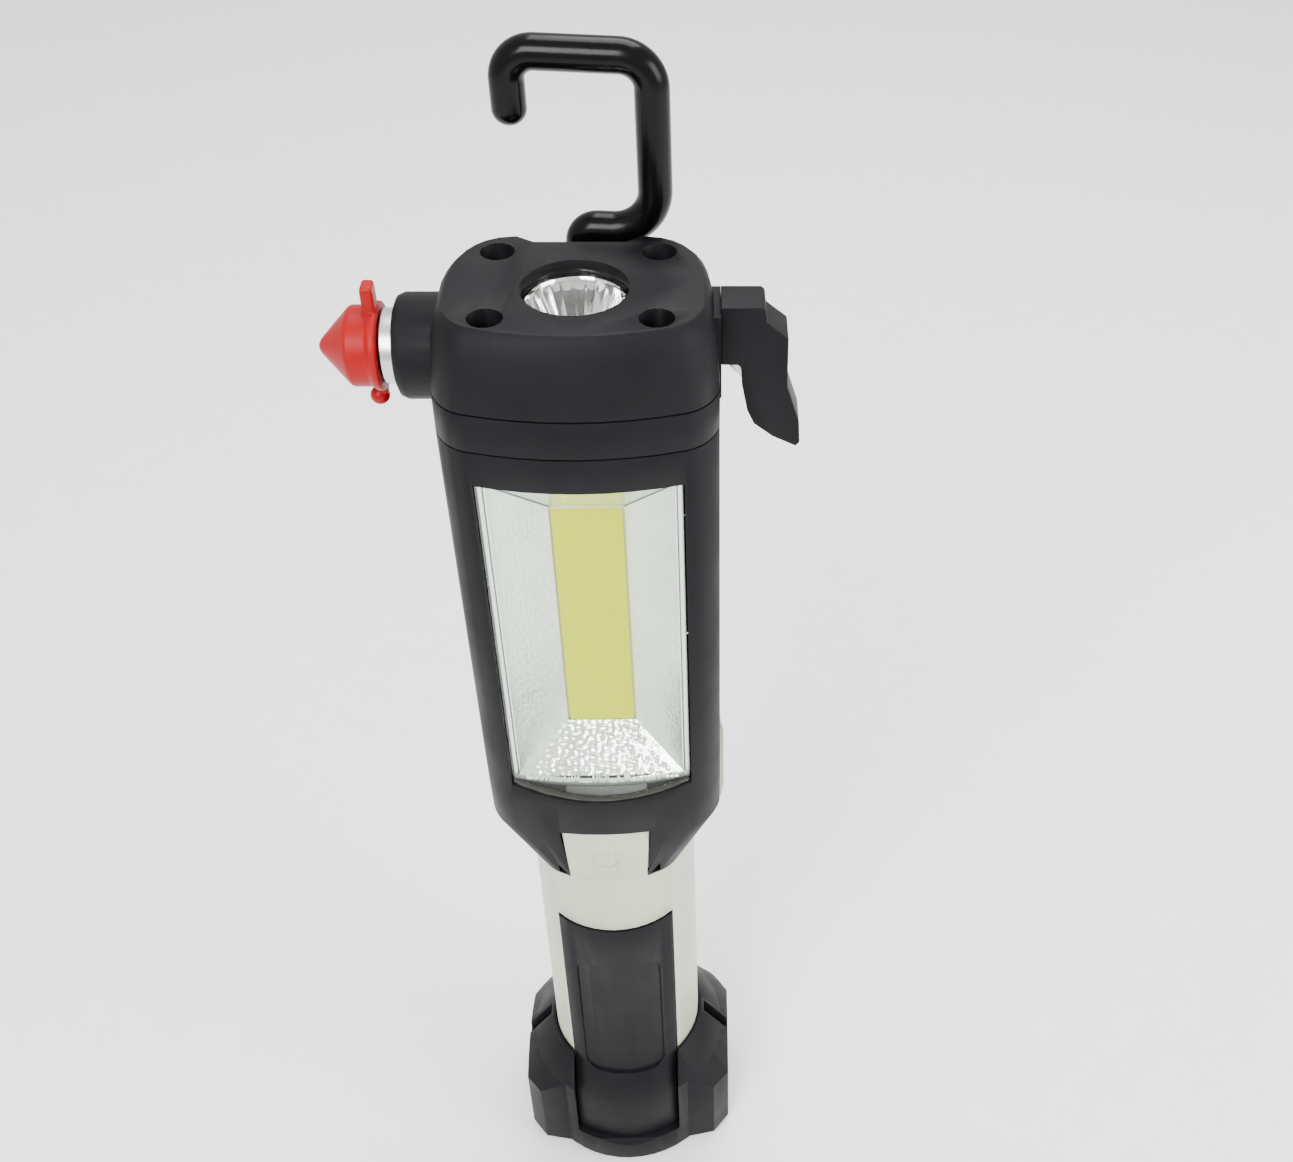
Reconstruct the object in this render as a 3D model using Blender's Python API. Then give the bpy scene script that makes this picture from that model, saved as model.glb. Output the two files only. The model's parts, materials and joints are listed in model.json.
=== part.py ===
"""Hand-held work light with a window lamp, a top torch, a folding swivel hook,
a glass-breaker point under a red cap, a belt cutter and a magnetic base that
draws the battery carrier out of the handle.

Frame: origin at the centre of the base's bottom face, +Z up, -Y the lamp's
front, +X the belt cutter's side.  Lengths are in metres.
"""
import math

import bmesh
import bpy
from mathutils import Matrix, Vector

for old in list(bpy.data.objects):
    bpy.data.objects.remove(old, do_unlink=True)

MM = 0.001

# ---------------------------------------------------------------- driving sizes
GAP = 0.3 * MM                # space kept between pieces that touch
WALL = 2.2 * MM               # moulded wall of the head
HEAD_TOP = 246.3 * MM         # top face of the head
HEAD_BOTTOM = 110.5 * MM      # lower lip of the head, around the handle
CHIN_TOP = 128.5 * MM         # where the head reaches its full width
CAP_LINE = 232.5 * MM         # lower edge of the top cap
DECK_LINE = 225.6 * MM        # lower edge of the deck's band
HEAD_HALF_WIDTH = 24.2 * MM
HEAD_FRONT = 22.8 * MM        # lamp face, at its middle
HEAD_BACK = 18.1 * MM
FACE_BULGE = 2.8 * MM         # how far the lamp face stands out at its middle
CORNER_X, CORNER_Y = 5.6 * MM, 7.0 * MM
RECESS_HALF, RECESS_SHOULDER = 8.2 * MM, 11.4 * MM
RECESS_DEPTH = 2.9 * MM       # channel for the hook, down the upper back
RECESS_LOW, RECESS_HIGH = 191.0 * MM, 195.5 * MM

WINDOW_HALF = 18.3 * MM
WINDOW_LOW, WINDOW_HIGH = 142.5 * MM, 218.7 * MM
WINDOW_SAG = 3.0 * MM         # the window's lower edge is an arc
LENS_THICK = 1.8 * MM
STRIP_HALF = 7.2 * MM         # opening of the reflector around the light strip
STRIP_LOW, STRIP_HIGH = 150.1 * MM, 205.8 * MM
STRIP_DEPTH = 10.2 * MM       # |y| of that opening's rim
REFLECTOR_WALL = 1.2 * MM

TORCH_Y = -0.7 * MM
TORCH_RADIUS = 9.4 * MM
TORCH_LIP = 1.7 * MM
CAP_SCREW_X = 14.2 * MM
CAP_SCREW_Y = (-10.8 * MM, 11.65 * MM)
SCREW_HEAD_R, SCREW_HEAD_H, SCREW_R = 2.7 * MM, 2.0 * MM, 1.4 * MM
COUNTERBORE_R = 3.1 * MM
COUNTERBORE_DEPTH = 4.3 * MM

SIDE_Z = 234.4 * MM           # axis of the hammer point
SKIRT_HALF = 10.2 * MM        # the cap reaches down this far each side of y = 0
BOSS_R, BOSS_END = 9.3 * MM, 31.3 * MM
TIP_COLLAR_R, STUD_R = 6.6 * MM, 3.0 * MM
CAP_R, CAP_RIM_X, CAP_SHOULDER_X, CAP_TIP_X = 7.1 * MM, 33.9 * MM, 39.3 * MM, 45.2 * MM
CAP_WALL = 1.2 * MM

GUARD_HALF = 3.85 * MM        # half the cutter arm's thickness
PAD_X = 24.9 * MM             # flat pad that the cutter arm stands against
GUARD_TOP = 244.0 * MM
BELT_SLOT = 3.3 * MM
BLADE_THICK = 0.6 * MM

HOOK_ROD_R = 3.1 * MM
HOOK_Y = HEAD_BACK + GAP + HOOK_ROD_R    # the rod passes close behind the head
HOOK_TURN = math.radians(-5.5)
HOOK_BAR_Z = HEAD_TOP - 0.4 * MM
HOOK_TOP_Z = HOOK_BAR_Z + 32.0 * MM
HOOK_RIGHT, HOOK_LEFT, HOOK_END_Z = 13.6 * MM, -11.3 * MM, HOOK_TOP_Z - 13.0 * MM
FOLD_PIN_R = 1.5 * MM
BLOCK_R, BLOCK_TOP = HOOK_ROD_R + 1.6 * MM, HOOK_BAR_Z - 5.1 * MM
FOLD_Z = BLOCK_TOP - 16.8 * MM
BRACKET_PLATE = 1.0 * MM
BRACKET_SCREW_R = 1.1 * MM
BRACKET_SCREWS = [(x, FOLD_Z - 22 * MM) for x in (-3.8 * MM, 3.8 * MM)]
STEM_R = 2.2 * MM

CELL_R, CELL_LENGTH = 7.25 * MM, 49.5 * MM      # AA cells
CELL_ROOM = 0.48 * MM         # between the three cells and the handle's bore
HANDLE_WALL = 2.1 * MM
HANDLE_R = CELL_R * (1 + 2 / math.sqrt(3)) + CELL_ROOM + HANDLE_WALL
FLANGE_R, FLANGE_H = HANDLE_R + 1.5 * MM, 2.4 * MM
GRIP_HALF = 12.8 * MM
GRIP_TOP = 90.6 * MM
GRIP_PROUD, GRIP_SUNK = 0.4 * MM, 1.0 * MM
TONGUE_R, TONGUE_BOTTOM, TONGUE_TOP = HANDLE_R + 4.4 * MM, 9.4 * MM, 31.0 * MM

BASE_R = HANDLE_R + 6.0 * MM
BASE_FLOOR = 5.7 * MM
BASE_SHOULDER, BASE_TOP = 28.0 * MM, 35.0 * MM
LOBE_X, LOBE_Y, LOBE_CUT = BASE_R + 1.7 * MM, BASE_R - 6.2 * MM, 4.4 * MM
NOTCH_HALF, NOTCH_FLOOR = 1.5 * MM, 23.5 * MM
MAGNET_R = HANDLE_R - 6.2 * MM

CELL_NUB_R, CELL_NUB_H = 2.75 * MM, 1.0 * MM
CARRIER_PLATE = 2.0 * MM
SPRING_HEIGHT = 3.2 * MM

BUTTON_LOW, BUTTON_HIGH = 113.4 * MM, 129.0 * MM
BUTTON_HALF_LOW, BUTTON_HALF_HIGH = 8.2 * MM, 9.3 * MM
BUTTON_PROUD = 0.9 * MM
BUTTON_TRAVEL = 0.8 * MM
BUTTON_FLANGE = 1.0 * MM

BOARD = 1.5 * MM              # thickness of a circuit board


# ---------------------------------------------------------------- finishes
FINISHES = {                  # colour, roughness, metallic
    "soft_black": ((0.035, 0.035, 0.042), 0.62, 0.0),
    "gloss_black": ((0.010, 0.010, 0.012), 0.18, 0.0),
    "cream": ((0.62, 0.64, 0.55), 0.42, 0.0),
    "red": ((0.75, 0.03, 0.04), 0.38, 0.0),
    "clear": ((0.85, 0.90, 0.88), 0.05, 0.0),
    "silvered": ((0.80, 0.82, 0.80), 0.12, 1.0),
    "phosphor": ((0.88, 0.92, 0.10), 0.55, 0.0),
    "board": ((0.72, 0.74, 0.72), 0.50, 0.0),
    "steel": ((0.62, 0.63, 0.65), 0.25, 1.0),
    "brass": ((0.78, 0.60, 0.28), 0.30, 1.0),
    "aluminium": ((0.70, 0.71, 0.73), 0.40, 1.0),
    "cell_wrap": ((0.10, 0.20, 0.16), 0.35, 0.0),
    "dark_metal": ((0.16, 0.16, 0.17), 0.42, 1.0),
}


def finish(obj, kind):
    """Give the piece its own material."""
    colour, roughness, metallic = FINISHES[kind]
    material = bpy.data.materials.new(obj.name)
    material.use_nodes = True
    shader = material.node_tree.nodes["Principled BSDF"]
    shader.inputs["Base Color"].default_value = (*colour, 1.0)
    shader.inputs["Roughness"].default_value = roughness
    shader.inputs["Metallic"].default_value = metallic
    if kind == "clear":
        shader.inputs["Transmission Weight"].default_value = 0.9
    material.diffuse_color = (*colour, 1.0)
    obj.data.materials.clear()
    obj.data.materials.append(material)
    return obj


# ---------------------------------------------------------------- mesh helpers
def to_object(name, bm):
    """Close the bmesh into a linked object with its faces pointing out."""
    bmesh.ops.remove_doubles(bm, verts=bm.verts, dist=1e-7)
    bmesh.ops.recalc_face_normals(bm, faces=bm.faces)
    mesh = bpy.data.meshes.new(name)
    bm.to_mesh(mesh)
    bm.free()
    mesh.shade_smooth()
    mesh.set_sharp_from_angle(angle=math.radians(30))
    obj = bpy.data.objects.new(name, mesh)
    bpy.context.scene.collection.objects.link(obj)
    return obj


def lofted(name, rings, closed=False):
    """Skin a list of rings that all have the same number of points.  An open
    loft is capped at both ends; a closed one joins its last ring to its first."""
    bm = bmesh.new()
    loops = [[bm.verts.new(p) for p in ring] for ring in rings]
    pairs = list(zip(loops, loops[1:])) + ([(loops[-1], loops[0])] if closed else [])
    for low, high in pairs:
        for i in range(len(low)):
            j = (i + 1) % len(low)
            bm.faces.new((low[i], low[j], high[j], high[i]))
    if not closed:
        bm.faces.new(loops[0])
        bm.faces.new(loops[-1])
    bmesh.ops.triangulate(bm, faces=bm.faces)     # flat faces cut cleanly
    return to_object(name, bm)


PLANES = {
    "XY": lambda a, b, h: (a, b, h),
    "XZ": lambda a, b, h: (a, h, b),
    "YZ": lambda a, b, h: (h, a, b),
}


def extruded(name, outline, low, high, plane="XY"):
    """Extrude a flat outline, drawn in the named plane, from low to high."""
    place = PLANES[plane]
    bm = bmesh.new()
    face = bm.faces.new([bm.verts.new(place(a, b, low)) for a, b in outline])
    grown = bmesh.ops.extrude_face_region(bm, geom=[face])
    moved = [v for v in grown["geom"] if isinstance(v, bmesh.types.BMVert)]
    bmesh.ops.translate(bm, verts=moved, vec=Vector(place(0, 0, high - low)))
    return to_object(name, bm)


def block(name, x, y, z):
    """A box between the pairs x, y and z."""
    return extruded(name, [(x[0], y[0]), (x[1], y[0]), (x[1], y[1]), (x[0], y[1])], *z)


def turned(name, profile, centre=(0, 0), axis="Z", steps=32):
    """Spin a closed profile of (radius, height) about an axis.  The centre
    gives the axis's place in the two other directions."""
    place = {
        "X": lambda r, h: (h, centre[0] + r, centre[1]),
        "Y": lambda r, h: (centre[0] + r, h, centre[1]),
        "Z": lambda r, h: (centre[0] + r, centre[1], h),
    }[axis]
    direction = {"X": (1, 0, 0), "Y": (0, 1, 0), "Z": (0, 0, 1)}[axis]
    bm = bmesh.new()
    verts = [bm.verts.new(place(r, h)) for r, h in profile]
    on_axis = [r == 0 for r, h in profile]
    edges = []
    for i, vert in enumerate(verts):
        j = (i + 1) % len(verts)
        if not (on_axis[i] and on_axis[j]):
            edges.append(bm.edges.new((vert, verts[j])))
    bmesh.ops.spin(bm, geom=verts + edges, cent=place(0, 0), axis=direction,
                   angle=2 * math.pi, steps=steps, use_merge=True)
    bmesh.ops.remove_doubles(bm, verts=bm.verts, dist=1e-7)
    return to_object(name, bm)


def disc(name, radius, low, high, centre=(0, 0), axis="Z", steps=32):
    return turned(name, [(0, low), (radius, low), (radius, high), (0, high)],
                  centre, axis, steps)


def stepped_bore(name, small, large, low, step, high, centre, axis="Z"):
    """Cutter for a screw: a narrow hole from low to step, a wide one on to high."""
    return turned(name, [(0, low), (small, low), (small, step), (large, step), (large, high), (0, high)],
                  centre, axis, 14)


def combine(target, tools, operation):
    """Boolean the tools into the target; each tool stays as a hidden guide."""
    for tool in tools:
        modifier = target.modifiers.new(tool.name, "BOOLEAN")
        modifier.object = tool
        modifier.operation = operation
        modifier.solver = "EXACT"
        tool.hide_render = True
        tool.display_type = "WIRE"
    return target


def cut(target, *tools):
    return combine(target, tools, "DIFFERENCE")


def join(target, *tools):
    return combine(target, tools, "UNION")


def keep_inside(target, *tools):
    return combine(target, tools, "INTERSECT")


def arc(centre, radius, start, end, steps):
    """Points along an arc; the angles are in degrees."""
    angles = [math.radians(start + (end - start) * i / steps) for i in range(steps + 1)]
    return [(centre[0] + radius * math.cos(a), centre[1] + radius * math.sin(a))
            for a in angles]


def bezier(p0, control, p2, steps):
    """Points strictly between p0 and p2 on the quadratic curve."""
    points = []
    for i in range(1, steps):
        t = i / steps
        points.append(tuple((1 - t) ** 2 * a + 2 * t * (1 - t) * b + t * t * c
                            for a, b, c in zip(p0, control, p2)))
    return points


# ---------------------------------------------------------------- head form
# Height, half width, front, back and recess depth of the head's outer surface.
HEAD_STATIONS = [
    (HEAD_BOTTOM, HEAD_HALF_WIDTH - 8.4 * MM, HEAD_FRONT - 2.6 * MM, HEAD_BACK - 0.5 * MM, 0),
    (CHIN_TOP, HEAD_HALF_WIDTH - 0.1 * MM, HEAD_FRONT - 0.3 * MM, HEAD_BACK, 0),
    (CHIN_TOP + 10 * MM, HEAD_HALF_WIDTH, HEAD_FRONT, HEAD_BACK, 0),
    (RECESS_LOW, HEAD_HALF_WIDTH, HEAD_FRONT, HEAD_BACK, 0),
    (RECESS_HIGH, HEAD_HALF_WIDTH, HEAD_FRONT, HEAD_BACK, RECESS_DEPTH),
    (DECK_LINE, HEAD_HALF_WIDTH + 0.3 * MM, HEAD_FRONT - 0.2 * MM, HEAD_BACK, RECESS_DEPTH),
    (CAP_LINE, HEAD_HALF_WIDTH + 0.4 * MM, HEAD_FRONT - 1.2 * MM, HEAD_BACK, RECESS_DEPTH),
    (HEAD_TOP - 4.3 * MM, HEAD_HALF_WIDTH - 0.3 * MM, HEAD_FRONT - 4.0 * MM, HEAD_BACK, RECESS_DEPTH),
    (HEAD_TOP - 1.1 * MM, HEAD_HALF_WIDTH - 1.1 * MM, HEAD_FRONT - 5.2 * MM, HEAD_BACK, RECESS_DEPTH),
    (HEAD_TOP, HEAD_HALF_WIDTH - 2.1 * MM, HEAD_FRONT - 6.2 * MM, HEAD_BACK - 0.8 * MM,
     RECESS_DEPTH - 0.8 * MM),
]


def head_size(z):
    """The head's half width, front, back and recess at a height."""
    lower = [s for s in HEAD_STATIONS if s[0] <= z] or [HEAD_STATIONS[0]]
    upper = [s for s in HEAD_STATIONS if s[0] >= z] or [HEAD_STATIONS[-1]]
    a, b = lower[-1], upper[0]
    t = 0 if a is b else (z - a[0]) / (b[0] - a[0])
    return [p + t * (q - p) for p, q in zip(a[1:], b[1:])]


def head_ring(z, inset=0.0):
    """The head's outline at a height: a bulged face, eased corners, straight
    sides, rounded back corners and the hook's channel in the middle of the back."""
    half, front, back, recess = head_size(z)
    half, front, back = half - inset, front - inset, back - inset
    face, edge = half - CORNER_X, -(front - FACE_BULGE)
    right = []
    for x in (0.25, 0.5, 0.75):
        right.append((x * face, edge - FACE_BULGE * (1 - x * x)))
    right.append((face, edge))
    side = (half, edge + CORNER_Y)
    right += bezier((face, edge), (half - 1.4 * MM, edge + 1.6 * MM), side, 6)
    right.append(side)
    flank, lobe = (half, 3 * MM), (half - 10 * MM, back)
    right += [flank] + bezier(flank, (half - 1.2 * MM, back - 0.9 * MM), lobe, 7)
    right += [(min(RECESS_SHOULDER, half - 10.5 * MM), back),
              (min(RECESS_HALF, half - 12 * MM), back - recess)]
    left = [(-x, y) for x, y in reversed(right)]
    return [(x, y, z) for x, y in [(0, -front)] + right + left]


def head_loft(name, low, high, inset=0.0):
    """The head's form between two heights, shrunk by the inset."""
    heights = [low] + [s[0] for s in HEAD_STATIONS if low < s[0] < high] + [high]
    return lofted(name, [head_ring(z, inset) for z in heights])


def at_cap_screws():
    return [(x, y) for y in CAP_SCREW_Y for x in (-CAP_SCREW_X, CAP_SCREW_X)]


def screw(name, profile_of, centre, axis="Z", kind="dark_metal"):
    return finish(turned(name, profile_of, centre, axis, 10), kind)


def screw_profile(top, length, flip=1, head_r=SCREW_HEAD_R, head_h=SCREW_HEAD_H, r=SCREW_R):
    """Pan head with a driver pocket.  The shank runs from the head by length;
    flip -1 points the head the other way."""
    pocket_r, pocket_h = 0.4 * head_r, 0.5 * head_h
    points = [(0, -pocket_h), (pocket_r, -pocket_h), (pocket_r, 0), (0.75 * head_r, 0),
              (head_r, -0.4 * head_h), (head_r, -head_h), (r, -head_h), (r, -length), (0, -length)]
    return [(a, top + flip * h) for a, h in points]


# ---------------------------------------------------------------- head pieces
def make_head_cap():
    cap = head_loft("head_cap", DECK_LINE + 2 * GAP, HEAD_TOP)
    roof = HEAD_TOP - WALL - 0.2 * MM
    cut(cap, head_loft("cap_hollow", DECK_LINE - WALL, roof, WALL))
    far = 40 * MM
    for name, y in (("cap_trim_front", (-far, -SKIRT_HALF)), ("cap_trim_back", (SKIRT_HALF, far))):
        cut(cap, block(name, (-far, far), y, (DECK_LINE - WALL, CAP_LINE + GAP)))
    sleeve_r = TORCH_RADIUS + 1.0 * MM
    columns = [disc(f"cap_column_{i}", COUNTERBORE_R + 0.9 * MM, CAP_LINE + 2 * GAP, HEAD_TOP - 1.5 * MM,
                    c, steps=12) for i, c in enumerate(at_cap_screws())]
    columns.append(disc("cap_sleeve", sleeve_r + 1.2 * MM, CAP_LINE + 3 * GAP, HEAD_TOP - 1.5 * MM,
                        (0, TORCH_Y), steps=32))
    boss = turned("cap_boss", [(0, -BOSS_END), (BOSS_R - 1.6 * MM, -BOSS_END),
                               (BOSS_R - 0.5 * MM, -BOSS_END + 0.5 * MM), (BOSS_R, -BOSS_END + 1.6 * MM),
                               (BOSS_R, -HEAD_HALF_WIDTH + 1.4 * MM), (0, -HEAD_HALF_WIDTH + 1.4 * MM)],
                  (0, SIDE_Z), "X", 30)
    pad = block("cap_pad", (PAD_X - 2.6 * MM, PAD_X), (-5.4 * MM, 5.4 * MM),
                (DECK_LINE + 4 * GAP, GUARD_TOP - 1.0 * MM))
    join(cap, *columns, boss, pad)
    cut(cap, disc("cap_torch_bore", sleeve_r, CAP_LINE - WALL, HEAD_TOP - TORCH_LIP, (0, TORCH_Y), steps=32),
        disc("cap_torch_mouth", TORCH_RADIUS, HEAD_TOP - 3 * MM, HEAD_TOP + 1 * MM, (0, TORCH_Y), steps=32),
        turned("cap_hammer_bore", [(0, -BOSS_END - 1 * MM), (TIP_COLLAR_R + GAP, -BOSS_END - 1 * MM),
                                   (TIP_COLLAR_R + GAP, -BOSS_END + 5.3 * MM), (STUD_R + GAP, -BOSS_END + 5.3 * MM),
                                   (STUD_R + GAP, -18 * MM), (0, -18 * MM)], (0, SIDE_Z), "X", 24),
        block("cap_tenon_hole", (18 * MM, 30 * MM), (-GUARD_HALF + 0.6 * MM, GUARD_HALF - 0.6 * MM),
              (SIDE_Z - 0.3 * MM, GUARD_TOP - 3.7 * MM)))
    for i, centre in enumerate(at_cap_screws()):
        cut(cap, stepped_bore(f"cap_bore_{i}", SCREW_R + GAP, COUNTERBORE_R, CAP_LINE - WALL,
                              HEAD_TOP - COUNTERBORE_DEPTH - SCREW_HEAD_H, HEAD_TOP + 1 * MM, centre))
    finish(cap, "soft_black")
    for i, centre in enumerate(at_cap_screws()):
        seat = HEAD_TOP - COUNTERBORE_DEPTH + GAP
        screw(f"cap_screw_{i + 1}", screw_profile(seat, seat - DECK_LINE - 1.5 * MM), centre)


def make_head_deck():
    """The band under the cap: a plate with posts for the cap's screws and a
    spigot that locates the two shells."""
    deck = head_loft("head_deck", DECK_LINE + GAP, CAP_LINE)
    plate_top = DECK_LINE + GAP + WALL
    cut(deck, head_loft("deck_hollow", plate_top, CAP_LINE + 1 * MM, WALL))
    spigot = head_loft("deck_spigot", DECK_LINE - 4 * MM, DECK_LINE + 1 * MM, WALL + GAP)
    cut(spigot, head_loft("deck_spigot_hollow", DECK_LINE - 5 * MM, DECK_LINE + 2 * MM, WALL + GAP + 1.5 * MM))
    posts = [disc(f"deck_post_{i}", SCREW_R + GAP + 1.3 * MM, DECK_LINE + 1 * MM, CAP_LINE, c, steps=12)
             for i, c in enumerate(at_cap_screws())]
    join(deck, spigot, *posts)
    for i, centre in enumerate(at_cap_screws()):
        cut(deck, disc(f"deck_pilot_{i}", SCREW_R + GAP, DECK_LINE - 1 * MM, CAP_LINE + 1 * MM, centre, steps=10))
    side = HEAD_HALF_WIDTH - WALL - 2.4 * MM
    for name, x in (("deck_notch_left", (-40 * MM, -side)), ("deck_notch_right", (side, 40 * MM))):
        cut(deck, block(name, x, (-SKIRT_HALF - GAP, SKIRT_HALF + GAP), (DECK_LINE, CAP_LINE + 1 * MM)))
    cut(deck, disc("deck_wire_hole", 5 * MM, DECK_LINE - 1 * MM, CAP_LINE, (0, 6.5 * MM), steps=14))
    finish(deck, "soft_black")


def window_outline(inset=0.0):
    """Front view of the window: straight sides and top, an arc below."""
    half, low, high = WINDOW_HALF - inset, WINDOW_LOW + inset, WINDOW_HIGH - inset
    floor = [(half * u, low - WINDOW_SAG * (1 - u * u)) for u in (-1, -0.67, -0.33, 0, 0.33, 0.67, 1)]
    return floor + [(half, high), (-half, high)]


def button_outline(inset=0.0, flange=0.0):
    """Front view of the power button: a little wider at its top."""
    low, high = BUTTON_LOW + inset - flange, BUTTON_HIGH - inset + flange
    half_low, half_high = BUTTON_HALF_LOW - inset + flange, BUTTON_HALF_HIGH - inset + flange
    return [(-half_low, low), (half_low, low), (half_high, high), (-half_high, high)]


SHELL_SCREWS = [(x, z) for z in (151.3 * MM, 183.7 * MM) for x in (-19.6 * MM, 19.6 * MM)]
SHELL_POST_R = 3.9 * MM
SCREW_SEAT = 9.3 * MM         # y of the seats of the shells' screws


def make_shells():
    floor = HEAD_BOTTOM + 14.4 * MM
    front_face = -HEAD_FRONT - 5 * MM
    sides = {"front_shell": (-1, (-GAP / 2, 40 * MM)), "back_shell": (1, (-40 * MM, GAP / 2))}
    for name, (way, other_half) in sides.items():
        shell = head_loft(name, HEAD_BOTTOM, DECK_LINE)
        cut(shell, head_loft(f"{name}_hollow", floor, DECK_LINE + 1 * MM, WALL))
        reach = way * 12.0 * MM
        posts = [disc(f"{name}_post_{i}", SHELL_POST_R, *sorted((0, reach)), c, "Y", 12)
                 for i, c in enumerate(SHELL_SCREWS)]
        join(shell, *posts)
        cut(shell, block(f"{name}_split", (-40 * MM, 40 * MM), other_half, (100 * MM, 240 * MM)),
            disc(f"{name}_handle_bore", HANDLE_R + GAP, 100 * MM, floor + 1 * MM, steps=48),
            disc(f"{name}_boss_room", BOSS_R + GAP, -40 * MM, -20 * MM, (0, SIDE_Z), "X", 30))
        if way < 0:
            cut(shell, extruded("window_cut", window_outline(), front_face, -12 * MM, "XZ"),
                extruded("button_cut", button_outline(-GAP), front_face, -14 * MM, "XZ"),
                block("button_mouth", (-BUTTON_HALF_LOW, BUTTON_HALF_LOW), (front_face, -14 * MM),
                      (HEAD_BOTTOM - 1 * MM, BUTTON_LOW + 1 * MM)),
                block("button_pocket", (-11 * MM, 11 * MM), (-BUTTON_BACK_Y, -10 * MM),
                      (BUTTON_LOW - 2.2 * MM, BUTTON_HIGH + 2.2 * MM)))
            for i, centre in enumerate(SHELL_SCREWS):
                cut(shell, disc(f"front_pilot_{i}", SCREW_R + GAP, -10 * MM, 5 * MM, centre, "Y", 10))
        else:
            cut(shell, saddle_form("saddle_room", GAP))
            for i, centre in enumerate(BRACKET_SCREWS):
                cut(shell, disc(f"bracket_pilot_{i}", BRACKET_SCREW_R + GAP, 5 * MM, 30 * MM, centre, "Y", 10))
            for i, centre in enumerate(SHELL_SCREWS):
                cut(shell, stepped_bore(f"back_bore_{i}", SCREW_R + GAP, SCREW_HEAD_R + GAP, -5 * MM,
                                        SCREW_SEAT, 30 * MM, centre, "Y"))
        finish(shell, "soft_black")
    for i, centre in enumerate(SHELL_SCREWS):
        top = SCREW_SEAT + GAP + SCREW_HEAD_H
        screw(f"shell_screw_{i + 1}", screw_profile(top, top + 7 * MM), centre, "Y")


def rounded_box(x0, x1, y0, y1, radius, steps=3):
    """Outline of a rectangle with round corners, counter-clockwise."""
    corners = [(x1 - radius, y0 + radius, -90), (x1 - radius, y1 - radius, 0),
               (x0 + radius, y1 - radius, 90), (x0 + radius, y0 + radius, 180)]
    return [p for x, y, a in corners for p in arc((x, y), radius, a, a + 90, steps)]


# ---------------------------------------------------------------- rear saddle
SADDLE_LOW, SADDLE_HIGH = 97 * MM, 134 * MM
SADDLE_FRONT = 7.0 * MM       # it wraps forward to this y
SADDLE_PROUD = 1.0 * MM        # past the head's sides
SADDLE_REAR = FLANGE_R + 2.0 * MM   # its back face: it hides the handle's flange


def saddle_form(name, grow=0.0):
    """The cream saddle behind the head's lower end: the head's rear outline,
    a little larger, drawn in to the handle below."""
    rings = []
    for z, narrow in ((SADDLE_LOW - grow, 7.5 * MM), (SADDLE_LOW + 11 * MM, 0.6 * MM),
                      (SADDLE_LOW + 15 * MM, 0), (SADDLE_HIGH - 4 * MM, 0), (SADDLE_HIGH + grow, 1.1 * MM)):
        half = HEAD_HALF_WIDTH + SADDLE_PROUD - narrow + grow
        back = SADDLE_REAR - 0.25 * narrow + grow
        side = (half, SADDLE_FRONT - grow)
        lobe = (half - 10 * MM, back)
        right = [side] + bezier(side, (half - 1.0 * MM, back - 0.7 * MM), lobe, 5) + [lobe]
        rings.append([(x, y, z) for x, y in right + [(-x, y) for x, y in reversed(right)]])
    return lofted(name, rings)


def make_rear_saddle():
    saddle = saddle_form("rear_saddle")
    cut(saddle, disc("saddle_bore", HANDLE_R + GAP, 80 * MM, HEAD_BOTTOM + 14.4 * MM, steps=48),
        block("saddle_hollow", (-HEAD_HALF_WIDTH + WALL, HEAD_HALF_WIDTH - WALL),
              (0, HEAD_BACK - WALL), (HEAD_BOTTOM + 10 * MM, SADDLE_HIGH + 1 * MM)),
        disc("saddle_flange_room", FLANGE_R + 2 * GAP, HEAD_BOTTOM + 10 * MM, SADDLE_HIGH + 1 * MM, steps=48))
    finish(saddle, "cream")


# ---------------------------------------------------------------- window lamp
RIM_FRONT = HEAD_FRONT - FACE_BULGE - LENS_THICK - GAP   # |y| of the reflector's rim


def make_window_lens():
    """Clear cover, curved across like the face of the head."""
    edge = HEAD_FRONT - FACE_BULGE
    half = WINDOW_HALF - GAP
    outer = [(u * half, -edge - FACE_BULGE * (1 - u * u) + 0.15 * MM) for u in
             (-1, -0.75, -0.5, -0.25, 0, 0.25, 0.5, 0.75, 1)]
    inner = [(x, y + LENS_THICK) for x, y in reversed(outer)]
    lens = extruded("window_lens", outer + inner, WINDOW_LOW - WINDOW_SAG, WINDOW_HIGH)
    trim = extruded("lens_trim", window_outline(GAP), -30 * MM, 0, "XZ")
    keep_inside(lens, trim)
    finish(lens, "clear")


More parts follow.
